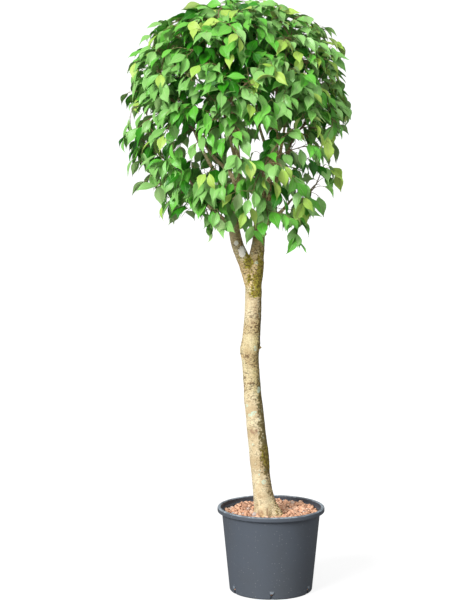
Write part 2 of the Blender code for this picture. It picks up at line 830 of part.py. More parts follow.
def keep_largest(mesh):
    """Drops every shell of a mesh but the one with most faces, so that scraps and sealed hollows go."""
    shape = bmesh.new()
    shape.from_mesh(mesh)
    bmesh.ops.remove_doubles(shape, verts=shape.verts, dist=WELD)
    left = set(shape.faces)
    shells = []
    while left:
        shell, edge = set(), [next(iter(left))]
        while edge:
            face = edge.pop()
            if face in shell:
                continue
            shell.add(face)
            for side in face.edges:
                if len(side.link_faces) == 2:
                    edge.extend(other for other in side.link_faces if other not in shell)
        left -= shell
        shells.append(shell)
    shells.sort(key=len)
    scraps = [face for shell in shells[:-1] for face in shell]
    bmesh.ops.delete(shape, geom=scraps, context="FACES")
    bmesh.ops.triangulate(shape, faces=shape.faces)
    shape.to_mesh(mesh)
    shape.free()


def make_crown(bark, greens):
    """The stems, the boughs and the masses of leaves."""
    stems, cutters = {}, {}
    for side, keys in (("left", LEFT_LEADER), ("right", RIGHT_LEADER)):
        _, stems[side] = split_leader(keys)
        stems[side].build(f"stem_{side}", STEM_SIDES, bark)
        cutters[side] = as_cutter(stems[side].build(f"stem_{side}_cutter", STEM_SIDES, None, GAP))
    masses = plan_masses()
    carriers = []
    for mass in masses:
        carrier = stems[mass["stem"]]
        if mass["leaves_at"] is not None:
            carrier = plan_bough(mass, carrier)
            bough = carrier.build(f"bough_{mass['name']}", BOUGH_SIDES, bark)
            add_boolean(bough, cutters[mass["stem"]], "DIFFERENCE")
        carriers.append(carrier)
    samples = [s for limb in [*stems.values(), *carriers] for s in limb_samples(limb)]
    centres = [mass["centre"] for mass in masses]
    spots = spray_points()
    for k, (mass, carrier) in enumerate(zip(masses, carriers)):
        own = mass["centre"]
        near = [s for s in spots if min(centres, key=lambda c: (s - c).length) is own]
        foot, ahead = carrier.points[-1], carrier.ahead[-1]
        grow_mass(mass, foot, ahead, near, centres, samples, greens[k % len(greens)])


def main():
    """Builds the plant and its pot."""
    clear_scene()
    plastic = plain_material("pot_plastic", (0.105, 0.125, 0.150), 0.50)
    clay = plain_material("clay_granules", (0.60, 0.33, 0.22), 0.90)
    bark = plain_material("bark", (0.62, 0.50, 0.30), 0.80)
    greens = [
        plain_material("leaf_deep_green", (0.050, 0.220, 0.035), 0.40),
        plain_material("leaf_green", (0.085, 0.300, 0.045), 0.40),
        plain_material("leaf_young_green", (0.160, 0.400, 0.060), 0.40),
    ]
    make_pot(plastic)
    granules = make_granules(clay)
    make_trunk(bark)
    seat_in_granules(granules)
    make_crown(bark, greens)


main()
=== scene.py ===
"""Looks of a weeping fig grown as a standard, in its round nursery pot of clay granules.

Metres, +Z up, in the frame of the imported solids. The pot is turned and its drain niches are cut, stones are
heaped on a bed of clay, one skin of bark covers the trunk and its limbs, and twigs and leaves grow on from
the limbs by the source's rule, carried to finer twigs. Bearings are in degrees from +X, turning towards +Y.
"""

import logging
import math
import random
from collections.abc import Callable, Iterator, Sequence
from contextlib import contextmanager
from dataclasses import dataclass, field
from enum import Enum

import bpy
import numpy as np
from mathutils import Matrix, Vector, noise
from mathutils.kdtree import KDTree


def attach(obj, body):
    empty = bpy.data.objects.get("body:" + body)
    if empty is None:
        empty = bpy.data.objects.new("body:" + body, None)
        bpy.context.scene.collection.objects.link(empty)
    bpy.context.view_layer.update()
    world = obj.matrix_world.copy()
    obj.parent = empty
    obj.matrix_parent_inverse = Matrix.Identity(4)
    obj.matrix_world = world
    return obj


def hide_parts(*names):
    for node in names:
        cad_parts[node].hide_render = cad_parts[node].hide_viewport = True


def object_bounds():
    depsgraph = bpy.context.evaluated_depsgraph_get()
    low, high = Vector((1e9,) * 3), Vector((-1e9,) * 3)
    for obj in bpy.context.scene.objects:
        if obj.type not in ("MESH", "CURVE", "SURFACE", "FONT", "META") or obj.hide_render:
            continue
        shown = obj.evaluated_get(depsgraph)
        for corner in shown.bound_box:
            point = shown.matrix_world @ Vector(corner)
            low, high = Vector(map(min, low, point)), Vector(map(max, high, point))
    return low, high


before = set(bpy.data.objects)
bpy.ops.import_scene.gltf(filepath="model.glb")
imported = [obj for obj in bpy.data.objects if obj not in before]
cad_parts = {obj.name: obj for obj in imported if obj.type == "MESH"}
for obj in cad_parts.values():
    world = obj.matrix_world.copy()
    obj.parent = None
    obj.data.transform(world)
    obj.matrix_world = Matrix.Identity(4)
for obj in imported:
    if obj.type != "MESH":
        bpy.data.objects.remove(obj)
CAD_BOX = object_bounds()

LOG = logging.getLogger("weeping_fig")
BODY = "root"
UP = Vector((0.0, 0.0, 1.0))
GOLDEN_ANGLE = math.pi * (3.0 - math.sqrt(5.0))

Triple = tuple[float, float, float]
Pair = tuple[float, float]
Key = tuple[Triple, float]
Path = list[Vector]
Rings = Sequence[tuple[Vector, float]]
Pose = tuple[Vector, Vector]
Piece = bpy.types.Object
Material = bpy.types.Material
Socket = bpy.types.NodeSocket
Sockets = bpy.types.bpy_prop_collection


class Slot(Enum):
    """The material slots' names."""

    POT = "pot_plastic"
    GRANULES = "clay_granules"
    BARK = "bark"
    FOLIAGE = "foliage"


class Side(Enum):
    """The two stems of the fork, as seen from the front."""

    LEFT = "left"
    RIGHT = "right"


class Tint(Enum):
    """The ages of leaf, from old and deep green, darkened further as painted shade for the crown's inside, to
    newly opened, and a few that yellow before they fall.
    """

    DEEP = "deep"
    MID = "mid"
    FRESH = "fresh"
    LIME = "lime"
    FADING = "fading"


# ---- Working with Blender's operators ----


def deselect_all() -> None:
    """Leaves nothing selected, so that the next operator acts only on what it is given."""
    bpy.ops.object.select_all(action="DESELECT")


def pick(*pieces: Piece) -> None:
    """Selects these pieces only, and makes the first one active."""
    deselect_all()
    for piece in pieces:
        piece.select_set(True)
    bpy.context.view_layer.objects.active = pieces[0]


@contextmanager
def editing(piece: Piece) -> Iterator[Piece]:
    """Opens a piece in edit mode with all of it selected, and closes it again.

    Args:
        piece: The mesh object to edit.

    Returns:
        The same piece, for the length of the block.
    """
    pick(piece)
    bpy.ops.object.mode_set(mode="EDIT")
    bpy.ops.mesh.select_all(action="SELECT")
    yield piece
    bpy.ops.object.mode_set(mode="OBJECT")


def settle(piece: Piece, name: str) -> Piece:
    """Names a piece and moves its place, turn and scale into its mesh.

    Args:
        piece: The object to settle.
        name: Its final name, which its mesh takes too.

    Returns:
        The same piece, at the world's origin.
    """
    pick(piece)
    bpy.ops.object.transform_apply(location=True, rotation=True, scale=True)
    piece.name = piece.data.name = name
    return piece


def finish_with(piece: Piece, kind: str, **settings: object) -> None:
    """Adds a modifier to a piece and applies it.

    Args:
        piece: The mesh object to change.
        kind: Blender's name for the modifier's type.
        **settings: The modifier's settings.
    """
    pick(piece)
    modifier = piece.modifiers.new(kind.lower(), kind)
    for key, value in settings.items():
        setattr(modifier, key, value)
    bpy.ops.object.modifier_apply(modifier=modifier.name)


def joined(pieces: Sequence[Piece]) -> Piece:
    """Joins pieces into the first of them."""
    pick(*pieces)
    bpy.ops.object.join()
    return pieces[0]


def smooth_by_angle(piece: Piece, degrees: float) -> None:
    """Shades a piece smooth, with its edges above an angle kept sharp."""
    pick(piece)
    bpy.ops.object.shade_smooth_by_angle(angle=math.radians(degrees))


def disc(sides: int, radius: float, centre: Sequence[float] = (0.0, 0.0, 0.0)) -> Piece:
    """A level disc of one face."""
    deselect_all()
    bpy.ops.mesh.primitive_circle_add(vertices=sides, radius=radius, fill_type="NGON", location=centre)
    return bpy.context.object


def extrude_through(body: Piece, rings: Rings) -> None:
    """Extrudes a level disc through rings, and turns its faces outwards.

    Args:
        body: The disc.
        rings: The centre and radius of each ring. The first is the disc as it stands.
    """
    with editing(body):
        for (centre, radius), (after, wider) in zip(rings, rings[1:]):
            bpy.ops.mesh.extrude_region_move(TRANSFORM_OT_translate={"value": after - centre})
            share = wider / radius
            bpy.ops.transform.resize(value=(share, share, 1.0), center_override=after)
        bpy.ops.mesh.normals_make_consistent(inside=False)


def turned(profile: Sequence[Pair], sides: int) -> Piece:
    """Turns a closed body round the Z axis, by extruding a disc through its profile.

    Args:
        profile: Radius and height of each ring, from the middle of the underside round to the inside.
        sides: How many sides the body has round.

    Returns:
        The turned object.
    """
    rings = [(UP * height, radius) for radius, height in profile]
    body = disc(sides, rings[0][1], rings[0][0])
    extrude_through(body, rings)
    return body


def write_values(mesh: bpy.types.Mesh, key: str, numbers: Sequence[float]) -> None:
    """Writes one number for each corner of a mesh, as an attribute."""
    attribute = mesh.attributes.new(key, "FLOAT", "POINT")
    attribute.data.foreach_set("value", np.ascontiguousarray(numbers, np.float32))


def mesh_from_arrays(
    name: str,
    points: np.ndarray,
    faces: Sequence[Sequence[int]],
    values: dict[str, np.ndarray] | None = None,
    uv: np.ndarray | None = None,
) -> Piece:
    """Makes one smooth object of many small things.

    Args:
        name: The object's name.
        points: All corners, one row each.
        faces: The corners of each face.
        values: Attributes by name, one number for each corner.
        uv: The place of each corner on the piece's own map.

    Returns:
        The new object.
    """
    mesh = bpy.data.meshes.new(name)
    mesh.from_pydata(points.tolist(), [], faces)
    for key, numbers in (values or {}).items():
        write_values(mesh, key, numbers)
    if uv is not None:
        corners = np.empty(len(mesh.loops), np.int32)
        mesh.loops.foreach_get("vertex_index", corners)
        layer = mesh.uv_layers.new(name="blade")
        layer.data.foreach_set("uv", np.asarray(uv[corners], np.float32).ravel())
    mesh.shade_smooth()
    mesh.update()
    piece = bpy.data.objects.new(name, mesh)
    bpy.context.scene.collection.objects.link(piece)
    return piece


def hand_over(piece: Piece, nodes: Sequence[str], material: Material) -> None:
    """Dresses a finished piece and ties it to the frame.

    Args:
        piece: The finished object.
        nodes: The solids that it stands for.
        material: Its finish.
    """
    piece.data.materials.clear()
    piece.data.materials.append(material)
    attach(piece, BODY)
    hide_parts(*nodes)
    triangles = sum(len(polygon.vertices) - 2 for polygon in piece.data.polygons)
    LOG.info("%s: %d triangles, for %d solids", piece.name, triangles, len(nodes))


# ---- Shader nodes ----


class Wiring:
    """Adds nodes to a tree, and sets or links their inputs by name."""

    def __init__(self, tree: bpy.types.NodeTree) -> None:
        """Keeps the tree to work on."""
        self.tree = tree

    def feed(self, socket: Socket, value: object) -> None:
        """Links another node's output to a socket, or sets the socket's own value.

        Args:
            socket: The input to feed.
            value: An output's socket, or a plain value.
        """
        if isinstance(value, Socket):
            self.tree.links.new(value, socket)
        else:
            socket.default_value = value

    def node(self, kind: str, settings: dict[str, object] | None = None, **inputs: object) -> bpy.types.Node:
        """Adds a node.

        Args:
            kind: Blender's name for the node's type.
            settings: The node's own settings.
            **inputs: Values or links for its inputs, with underscores for the spaces in their names.

        Returns:
            The new node.
        """
        node = self.tree.nodes.new(kind)
        for key, value in (settings or {}).items():
            setattr(node, key, value)
        for key, value in inputs.items():
            self.feed(node.inputs[key.replace("_", " ")], value)
        return node

    def maths(self, operation: str, *values: object) -> Socket:
        """Adds a sum of numbers and gives its result.

        Args:
            operation: Blender's name for the sum.
            *values: Its numbers or links, in order.

        Returns:
            The result's socket.
        """
        node = self.node("ShaderNodeMath", {"operation": operation})
        for socket, value in zip(node.inputs, values):
            self.feed(socket, value)
        return node.outputs["Value"]

    def times(self, first: object, second: object) -> Socket:
        """Two numbers multiplied."""
        return self.maths("MULTIPLY", first, second)

    def plus(self, first: object, second: object) -> Socket:
        """Two numbers added."""
        return self.maths("ADD", first, second)

    def most(self, first: object, second: object) -> Socket:
        """The larger of two numbers."""
        return self.maths("MAXIMUM", first, second)

    def remap(
        self, value: object, low: float, high: float, to_low: float = 0.0, to_high: float = 1.0
    ) -> Socket:
        """Maps a range of values smoothly onto another.

        Args:
            value: The link to map.
            low: The value that becomes to_low.
            high: The value that becomes to_high.
            to_low: The result at and below low.
            to_high: The result at and above high.

        Returns:
            The result's socket.
        """
        node = self.node(
            "ShaderNodeMapRange",
            {"interpolation_type": "SMOOTHSTEP"},
            Value=value,
            From_Min=low,
            From_Max=high,
            To_Min=to_low,
            To_Max=to_high,
        )
        return node.outputs["Result"]

    def mix(self, share: object, first: object, second: object, blend: str = "MIX") -> Socket:
        """Mixes two colours.

        Args:
            share: How much of the second colour shows.
            first: The colour underneath, as a triple or a link.
            second: The colour on top.
            blend: Blender's name for the way of mixing.

        Returns:
            The mixed colour's socket.
        """
        node = self.node("ShaderNodeMix", {"data_type": "RGBA", "blend_type": blend})
        for place, value in zip((0, 6, 7), (share, first, second)):
            self.feed(node.inputs[place], rgba(value) if isinstance(value, tuple) else value)
        return node.outputs[2]

    def attribute(self, name: str) -> Socket:
        """The number that a mesh attribute holds at each point."""
        return self.node("ShaderNodeAttribute", {"attribute_name": name}).outputs["Fac"]

    def stretched(self, coordinates: Socket, scale: Triple) -> Socket:
        """Coordinates scaled by their own amount along each axis."""
        return self.node("ShaderNodeMapping", None, Vector=coordinates, Scale=scale).outputs["Vector"]


def rgba(colour: Triple) -> tuple[float, float, float, float]:
    """A colour with full opacity, as a socket wants it."""
    return (*colour, 1.0)


class Effects:
    """The patterns that more than one finish uses, as node groups built once."""

    def __init__(self) -> None:
        """Builds the groups."""
        self.mottle = self.group("Mottle", {"Scale": 10.0, "Low": 0.4, "High": 0.6}, "Mask", mottle)
        self.speckle = self.group("Speckle", {"Scale": 100.0, "Size": 0.3, "Share": 0.5}, "Mask", speckle)
        self.grain = self.group("Grain", {"Scale": 200.0}, "Height", grain)

    def group(
        self,
        name: str,
        numbers: dict[str, float],
        output: str,
        pattern: Callable[[Wiring, Sockets], Socket],
    ) -> bpy.types.NodeTree:
        """Builds a group with a Vector input, number inputs and one number output.

        Args:
            name: The group's name.
            numbers: The default of each number input, by name.
            output: The output's name.
            pattern: Wires the group's inputs up to its pattern.

        Returns:
            The group.
        """
        tree = bpy.data.node_groups.new(name, "ShaderNodeTree")
        tree.interface.new_socket(name="Vector", in_out="INPUT", socket_type="NodeSocketVector")
        for key, number in numbers.items():
            socket = tree.interface.new_socket(name=key, in_out="INPUT", socket_type="NodeSocketFloat")
            socket.default_value = number
        tree.interface.new_socket(name=output, in_out="OUTPUT", socket_type="NodeSocketFloat")
        wiring = Wiring(tree)
        given, made = wiring.node("NodeGroupInput"), wiring.node("NodeGroupOutput")
        wiring.feed(made.inputs[output], pattern(wiring, given.outputs))
        return tree


def clouds(wiring: Wiring, given: Sockets, detail: float, roughness: float) -> Socket:
    """A noise at a group's own scale."""
    noises = {"Scale": given["Scale"], "Detail": detail, "Roughness": roughness}
    return wiring.node("ShaderNodeTexNoise", None, Vector=given["Vector"], **noises).outputs["Fac"]


def mottle(wiring: Wiring, given: Sockets) -> Socket:
    """Soft blotches: a mask that is 0 below Low and 1 above High of a noise."""
    return wiring.remap(clouds(wiring, given, 4.0, 0.58), given["Low"], given["High"])


def speckle(wiring: Wiring, given: Sockets) -> Socket:
    """Scattered specks: a mask of cells' middles up to Size across, in a Share of the cells.

    Args:
        wiring: The group's wiring.
        given: The group's inputs.

    Returns:
        The mask.
    """
    cells = wiring.node("ShaderNodeTexVoronoi", None, Vector=given["Vector"], Scale=given["Scale"]).outputs
    inside = wiring.remap(cells["Distance"], given["Size"], wiring.times(given["Size"], 0.55))
    chance = wiring.node("ShaderNodeSeparateColor", None, Color=cells["Color"]).outputs[0]
    return wiring.times(inside, wiring.maths("LESS_THAN", chance, given["Share"]))


def grain(wiring: Wiring, given: Sockets) -> Socket:
    """Fine unevenness, as a height for a bump."""
    return clouds(wiring, given, 5.0, 0.65)


class Coat:
    """A material in the making: its shader, its wiring, its colour so far and the effects at hand."""

    def __init__(self, name: str, effects: Effects, roughness: float, colour: Triple | None = None) -> None:
        """Starts a material with a Principled shader and Object coordinates.

        Args:
            name: The material's name.
            effects: The shared node groups.
            roughness: The shader's own roughness, where nothing is linked to it.
            colour: The undermost colour.
        """
        self.material = bpy.data.materials.new(name)
        self.material.use_nodes = True
        self.effects = effects
        self.wiring = Wiring(self.material.node_tree)
        self.shader = self.material.node_tree.nodes["Principled BSDF"]
        self.shader.inputs["Roughness"].default_value = roughness
        self.place = self.wiring.node("ShaderNodeTexCoord").outputs["Object"]
        self.colour: Triple | Socket | None = colour

    def effect(self, group: bpy.types.NodeTree, vector: Socket | None = None, **numbers: float) -> Socket:
        """Places a shared group in the material with its own values.

        Args:
            group: The node group.
            vector: The coordinates that it reads, or none for the piece's own.
            **numbers: The values of its number inputs.

        Returns:
            The group's output.
        """
        spot = vector or self.place
        node = self.wiring.node("ShaderNodeGroup", {"node_tree": group}, Vector=spot, **numbers)
        return node.outputs[0]

    def paint(self, mask: Socket, colour: Triple | Socket, strength: float = 1.0, blend: str = "MIX") -> None:
        """Lays a colour over what is painted so far.

        Args:
            mask: Where it shows.
            colour: The colour.
            strength: How much of it shows where the mask is 1.
            blend: Blender's name for the way of mixing.
        """
        share = mask if strength == 1.0 else self.wiring.times(mask, strength)
        self.colour = self.wiring.mix(share, self.colour, colour, blend)

    def relief(self, height: Socket, depth: float, strength: float = 1.0) -> None:
        """Feeds a height through a bump to the shader's normal.

        Args:
            height: The link that gives the height.
            depth: How deep a full step of it is, in metres.
            strength: How much of it shows.
        """
        bump = self.wiring.node("ShaderNodeBump", None, Height=height, Distance=depth, Strength=strength)
        self.wiring.feed(self.shader.inputs["Normal"], bump.outputs["Normal"])

    def finish(self, roughness: Socket | None = None) -> Material:
        """Feeds what is painted and, where given, a roughness to the shader, and gives the material.

        Args:
            roughness: A link for the shader's roughness, or none for its own.

        Returns:
            The material.
        """
        self.wiring.feed(self.shader.inputs["Base Color"], self.colour)
        if roughness is not None:
            self.wiring.feed(self.shader.inputs["Roughness"], roughness)
        return self.material


# ---- Finishes ----


@dataclass(frozen=True)
class PlasticFinish:
    """Moulded dark grey plastic, matt and faintly textured, scuffed paler round the rim, with a painted
    highlight on the rim's top, painted light on the drain hoods and painted shade inside below the rim.
    """

    colour: Triple = (0.080, 0.094, 0.116)
    blotch: Triple = (0.076, 0.086, 0.100)
    # Scuffs on the rim, also used as a painted highlight along the rim's top and as painted light on the
    # drain hoods.
    wear_and_highlight: Triple = (0.340, 0.400, 0.450)
    speck: Triple = (0.330, 0.340, 0.350)
    # Painted shade for the pot's inside below the rim.
    inner: Triple = (0.058, 0.062, 0.074)
    rim_height: float = 0.2762
    inner_radius: float = 0.1668
    foot_radius: float = 0.1369
    slope: float = 0.0988
    neck_height: float = 0.2645
    hood_height: float = 0.040
    specular: float = 0.30

    def material(self, effects: Effects) -> Material:
        """The finish as a material.

        Args:
            effects: The shared node groups.

        Returns:
            The material.
        """
        coat = Coat("pot plastic", effects, 0.46, self.colour)
        wiring = coat.wiring
        clouds = coat.effect(effects.mottle, Scale=5.0, Low=0.30, High=0.75)
        coat.paint(clouds, self.blotch)
        height = wiring.node("ShaderNodeSeparateXYZ", None, Vector=coat.place).outputs["Z"]
        # The rim's top is painted paler: scuffs, and a painted highlight along its rounded top edge.
        on_rim = wiring.remap(height, self.rim_height, self.rim_height + 0.0022)
        scuffs = coat.effect(effects.mottle, Scale=55.0, Low=0.34, High=0.66)
        coat.paint(wiring.times(on_rim, wiring.remap(scuffs, 0.0, 1.0, 0.25, 0.95)), self.wear_and_highlight)
        # The pot's inside, from 0.20 m up and under the rim, is painted darker: painted shade.
        level = wiring.stretched(coat.place, (1.0, 1.0, 0.0))
        away = wiring.node("ShaderNodeVectorMath", {"operation": "LENGTH"}, Vector=level).outputs["Value"]
        wall = wiring.maths("MULTIPLY_ADD", height, self.slope, self.foot_radius)
        out = wiring.maths("SUBTRACT", away, wall)
        within = wiring.times(wiring.remap(out, -0.0010, -0.0022), wiring.remap(height, 0.18, 0.20))
        brim = wiring.remap(away, self.inner_radius, self.inner_radius - 0.0012)
        brim = wiring.times(brim, wiring.remap(height, self.neck_height, self.neck_height + 0.001))
        coat.paint(wiring.most(within, brim), self.inner)
        # The drain hoods' faces are painted paler: painted light.
        proud = wiring.remap(out, 0.0006, 0.0020)
        hood_painted_light = wiring.times(proud, wiring.remap(height, self.hood_height + 0.002, self.hood_height))
        coat.paint(hood_painted_light, self.wear_and_highlight, 0.30)
        coat.paint(coat.effect(effects.speckle, Scale=130.0, Size=0.20, Share=0.26), self.speck, 0.45)
        coat.relief(coat.effect(effects.grain, Scale=900.0), 0.0003, 0.5)
        coat.shader.inputs["Specular IOR Level"].default_value = self.specular
        return coat.finish(wiring.remap(clouds, 0.0, 1.0, 0.50, 0.58))


@dataclass(frozen=True)
class ClayFinish:
    """Dry fired clay granules. Each stone has its own shade, from dusky through tan to grey, and the bed
    under them takes the dusky end as painted shade in the gaps between stones.
    """

    # Dusky stones, and painted shade for the bed in the gaps between them.
    dusky_and_gap_shade: Triple = (0.420, 0.220, 0.135)
    tan: Triple = (0.720, 0.400, 0.245)
    pale: Triple = (0.820, 0.530, 0.365)
    grey: Triple = (0.460, 0.420, 0.400)
    pore: Triple = (0.160, 0.080, 0.050)

    def material(self, effects: Effects) -> Material:
        """The finish as a material. It reads each stone's shade from the mesh.

        Args:
            effects: The shared node groups.

        Returns:
            The material.
        """
        coat = Coat("clay granules", effects, 0.92)
        ramp = coat.wiring.node("ShaderNodeValToRGB", None, Fac=coat.wiring.attribute("shade"))
        stops = ramp.color_ramp.elements
        stops[0].position, stops[0].color = 0.0, rgba(self.dusky_and_gap_shade)
        stops[1].position, stops[1].color = 0.35, rgba(self.tan)
        for place, colour in ((0.62, self.tan), (0.80, self.pale), (0.93, self.pale), (0.97, self.grey)):
            stops.new(place).color = rgba(colour)
        coat.colour = ramp.outputs["Color"]
        coat.paint(coat.effect(effects.mottle, Scale=240.0, Low=0.35, High=0.75), self.pale, 0.30)
        coat.paint(coat.effect(effects.speckle, Scale=700.0, Size=0.32, Share=0.35), self.pore, 0.55)
        coat.relief(coat.effect(effects.grain, Scale=900.0), 0.0008, 0.8)
        return coat.finish()


@dataclass(frozen=True)
class BarkFinish:
    """Smooth pale bark with brown flecks, browner on the stems, with moss, lichen and a white scar, painted
    darker on its right and round the fork as painted shade, and paler on the left of the stems as painted
    light.
    """

    cream: Triple = (0.810, 0.700, 0.450)
    tan: Triple = (0.600, 0.460, 0.260)
    brown: Triple = (0.850, 0.650, 0.370)
    umber: Triple = (0.520, 0.375, 0.165)
    fleck: Triple = (0.070, 0.042, 0.018)
    rust: Triple = (0.250, 0.135, 0.055)
    stain: Triple = (0.300, 0.165, 0.095)
    painted_shade_film: Triple = (0.790, 0.770, 0.520)
    moss: Triple = (0.270, 0.215, 0.014)
    young_moss: Triple = (0.480, 0.420, 0.050)
    old_moss: Triple = (0.095, 0.062, 0.008)
    algae: Triple = (0.160, 0.132, 0.022)
    lichen: Triple = (0.590, 0.720, 0.560)
    callus: Triple = (1.000, 0.950, 0.830)

    def material(self, effects: Effects) -> Material:
        """The finish as a material. It reads where moss, streaks, lichen and scars grow from the mesh.

        Args:
            effects: The shared node groups.

        Returns:
            The material.
        """
        coat = Coat("bark", effects, 0.80)
        wiring = coat.wiring
        squat = wiring.stretched(coat.place, (1.0, 1.0, 1.8))
        clouds = coat.effect(effects.mottle, Scale=22.0, Low=0.36, High=0.68)
        patchy = coat.effect(effects.mottle, Scale=60.0, Low=0.38, High=0.62)
        ragged = coat.effect(effects.mottle, Scale=150.0, Low=0.30, High=0.70)
        age = wiring.plus(wiring.attribute("age"), wiring.times(patchy, 0.35))
        coat.colour = wiring.mix(clouds, self.cream, self.tan)
        coat.paint(wiring.remap(age, 0.30, 1.10), wiring.mix(clouds, self.brown, self.umber))
        flecks = self.flecks(coat, squat)
        coat.paint(flecks, wiring.mix(patchy, self.fleck, self.rust))
        streak = self.grown(wiring, "streak", patchy, ragged)
        coat.paint(streak, wiring.mix(ragged, self.algae, self.old_moss), 0.88)
        blot = wiring.times(wiring.attribute("stain"), wiring.remap(ragged, 0.0, 0.6, 0.35, 1.0))
        coat.paint(blot, self.stain)
        # A darker film is multiplied where the mesh's freckle value is high. On the trunk's right side, away
        # from the key light, this is painted shade, and from the fork up it is partly painted shade under the
        # crown. Elsewhere it darkens the densely freckled band of the mid trunk.
        coat.paint(wiring.remap(wiring.attribute("freckles_and_shade"), 0.48, 1.05), self.painted_shade_film, 0.85, "MULTIPLY")
        coat.paint(self.crust(coat, ragged), self.lichen)
        cushions = coat.effect(effects.mottle, Scale=125.0, Low=0.40, High=0.60)
        mossy = self.grown(wiring, "moss", patchy, ragged)
        coat.paint(mossy, self.mosses(coat, cushions, ragged, squat))
        scar = wiring.plus(wiring.attribute("scar"), wiring.times(ragged, 0.60))
        coat.paint(wiring.remap(scar, 0.75, 1.15), self.callus)
        fine_grain = coat.effect(effects.grain, squat, Scale=420.0)
        rough = wiring.plus(fine_grain, wiring.times(mossy, cushions))
        coat.relief(wiring.maths("SUBTRACT", rough, wiring.times(flecks, 0.5)), 0.0014, 0.8)
        return coat.finish()

    def grown(self, wiring: Wiring, key: str, patchy: Socket, ragged: Socket) -> Socket:
        """A growth's mask: its density on the mesh, broken up into patches with ragged edges."""
        breaks = wiring.plus(wiring.times(patchy, 0.40), wiring.times(ragged, 0.60))
        return wiring.remap(wiring.plus(wiring.attribute(key), breaks), 1.02, 1.30)

    def flecks(self, coat: Coat, squat: Socket) -> Socket:
        """The mask of brown flecks: small ones and ragged blotches, thickest where the mesh says so, which
        gathers them on the trunk's right side as painted shade.

        Args:
            coat: The material in the making.
            squat: Coordinates that flatten the flecks.

        Returns:
            The mask.
        """
        wiring, effects = coat.wiring, coat.effects
        dots = coat.effect(effects.speckle, squat, Scale=160.0, Size=0.50, Share=0.55)
        blots = coat.effect(effects.mottle, squat, Scale=98.0, Low=0.535, High=0.600)
        crumbs = coat.effect(effects.mottle, squat, Scale=225.0, Low=0.54, High=0.62)
        where = coat.effect(effects.mottle, Scale=17.0, Low=0.34, High=0.64)
        found = wiring.most(wiring.most(wiring.times(dots, 0.80), wiring.times(crumbs, 0.75)), blots)
        share = wiring.times(wiring.attribute("freckles_and_shade"), wiring.remap(where, 0.0, 1.0, 0.50, 1.35))
        return wiring.maths("MINIMUM", wiring.times(found, share), 0.92)

    def crust(self, coat: Coat, ragged: Socket) -> Socket:
        """The mask of lichen: small flecks of it all over, and patches where the mesh says so.

        Args:
            coat: The material in the making.
            ragged: A fine mottle.

        Returns:
            The mask.
        """
        wiring = coat.wiring
        spots = coat.effect(coat.effects.mottle, Scale=58.0, Low=0.62, High=0.70)
        lichen = wiring.plus(wiring.attribute("lichen"), wiring.times(ragged, 0.60))
        patches = wiring.remap(lichen, 0.95, 1.30)
        found = wiring.most(wiring.times(spots, 0.50), patches)
        return wiring.times(found, wiring.remap(ragged, 0.1, 0.7, 0.35, 0.90))

    def mosses(self, coat: Coat, cushions: Socket, ragged: Socket, squat: Socket) -> Socket:
        """The colour of moss: young on its cushions, rusty in places, and nearly black where it is damp.

        Args:
            coat: The material in the making.
            cushions: The mask of the cushions' tops.
            ragged: A fine mottle.
            squat: Coordinates that flatten the hollows.

        Returns:
            The colour.
        """
        wiring, effects = coat.wiring, coat.effects
        crumbs = coat.effect(effects.mottle, Scale=95.0, Low=0.50, High=0.60)
        hollows = coat.effect(effects.mottle, squat, Scale=112.0, Low=0.49, High=0.60)
        damp = wiring.plus(wiring.times(wiring.attribute("streak"), 0.75), ragged)
        hollows = wiring.most(hollows, wiring.remap(damp, 0.85, 1.55))
        green = wiring.mix(cushions, self.moss, self.young_moss)
        green = wiring.mix(wiring.times(crumbs, 0.50), green, self.rust)
        return wiring.mix(wiring.times(hollows, 0.86), green, self.old_moss)


@dataclass(frozen=True)
class TwigFinish:
    """Thin brown twigs, greyer where they are thick and ruddier towards their tips."""

    thick: Triple = (0.180, 0.125, 0.062)
    thin: Triple = (0.230, 0.155, 0.070)
    tip: Triple = (0.240, 0.280, 0.085)
    cloud: Triple = (0.340, 0.260, 0.140)
    speck: Triple = (0.100, 0.060, 0.030)

    def material(self, effects: Effects) -> Material:
        """The finish as a material. It reads how young each twig is from the mesh.

        Args:
            effects: The shared node groups.

        Returns:
            The material.
        """
        coat = Coat("twigs", effects, 0.70, self.thick)
        youth = coat.wiring.attribute("youth")
        coat.paint(coat.wiring.remap(youth, 0.0, 0.6), self.thin)
        coat.paint(coat.wiring.remap(youth, 0.80, 1.0), self.tip)
        coat.paint(coat.effect(effects.mottle, Scale=90.0, Low=0.35, High=0.70), self.cloud, 0.55)
        coat.paint(coat.effect(effects.speckle, Scale=420.0, Size=0.35, Share=0.30), self.speck, 0.6)
        coat.relief(coat.effect(effects.grain, Scale=800.0), 0.0004, 0.6)
        return coat.finish()


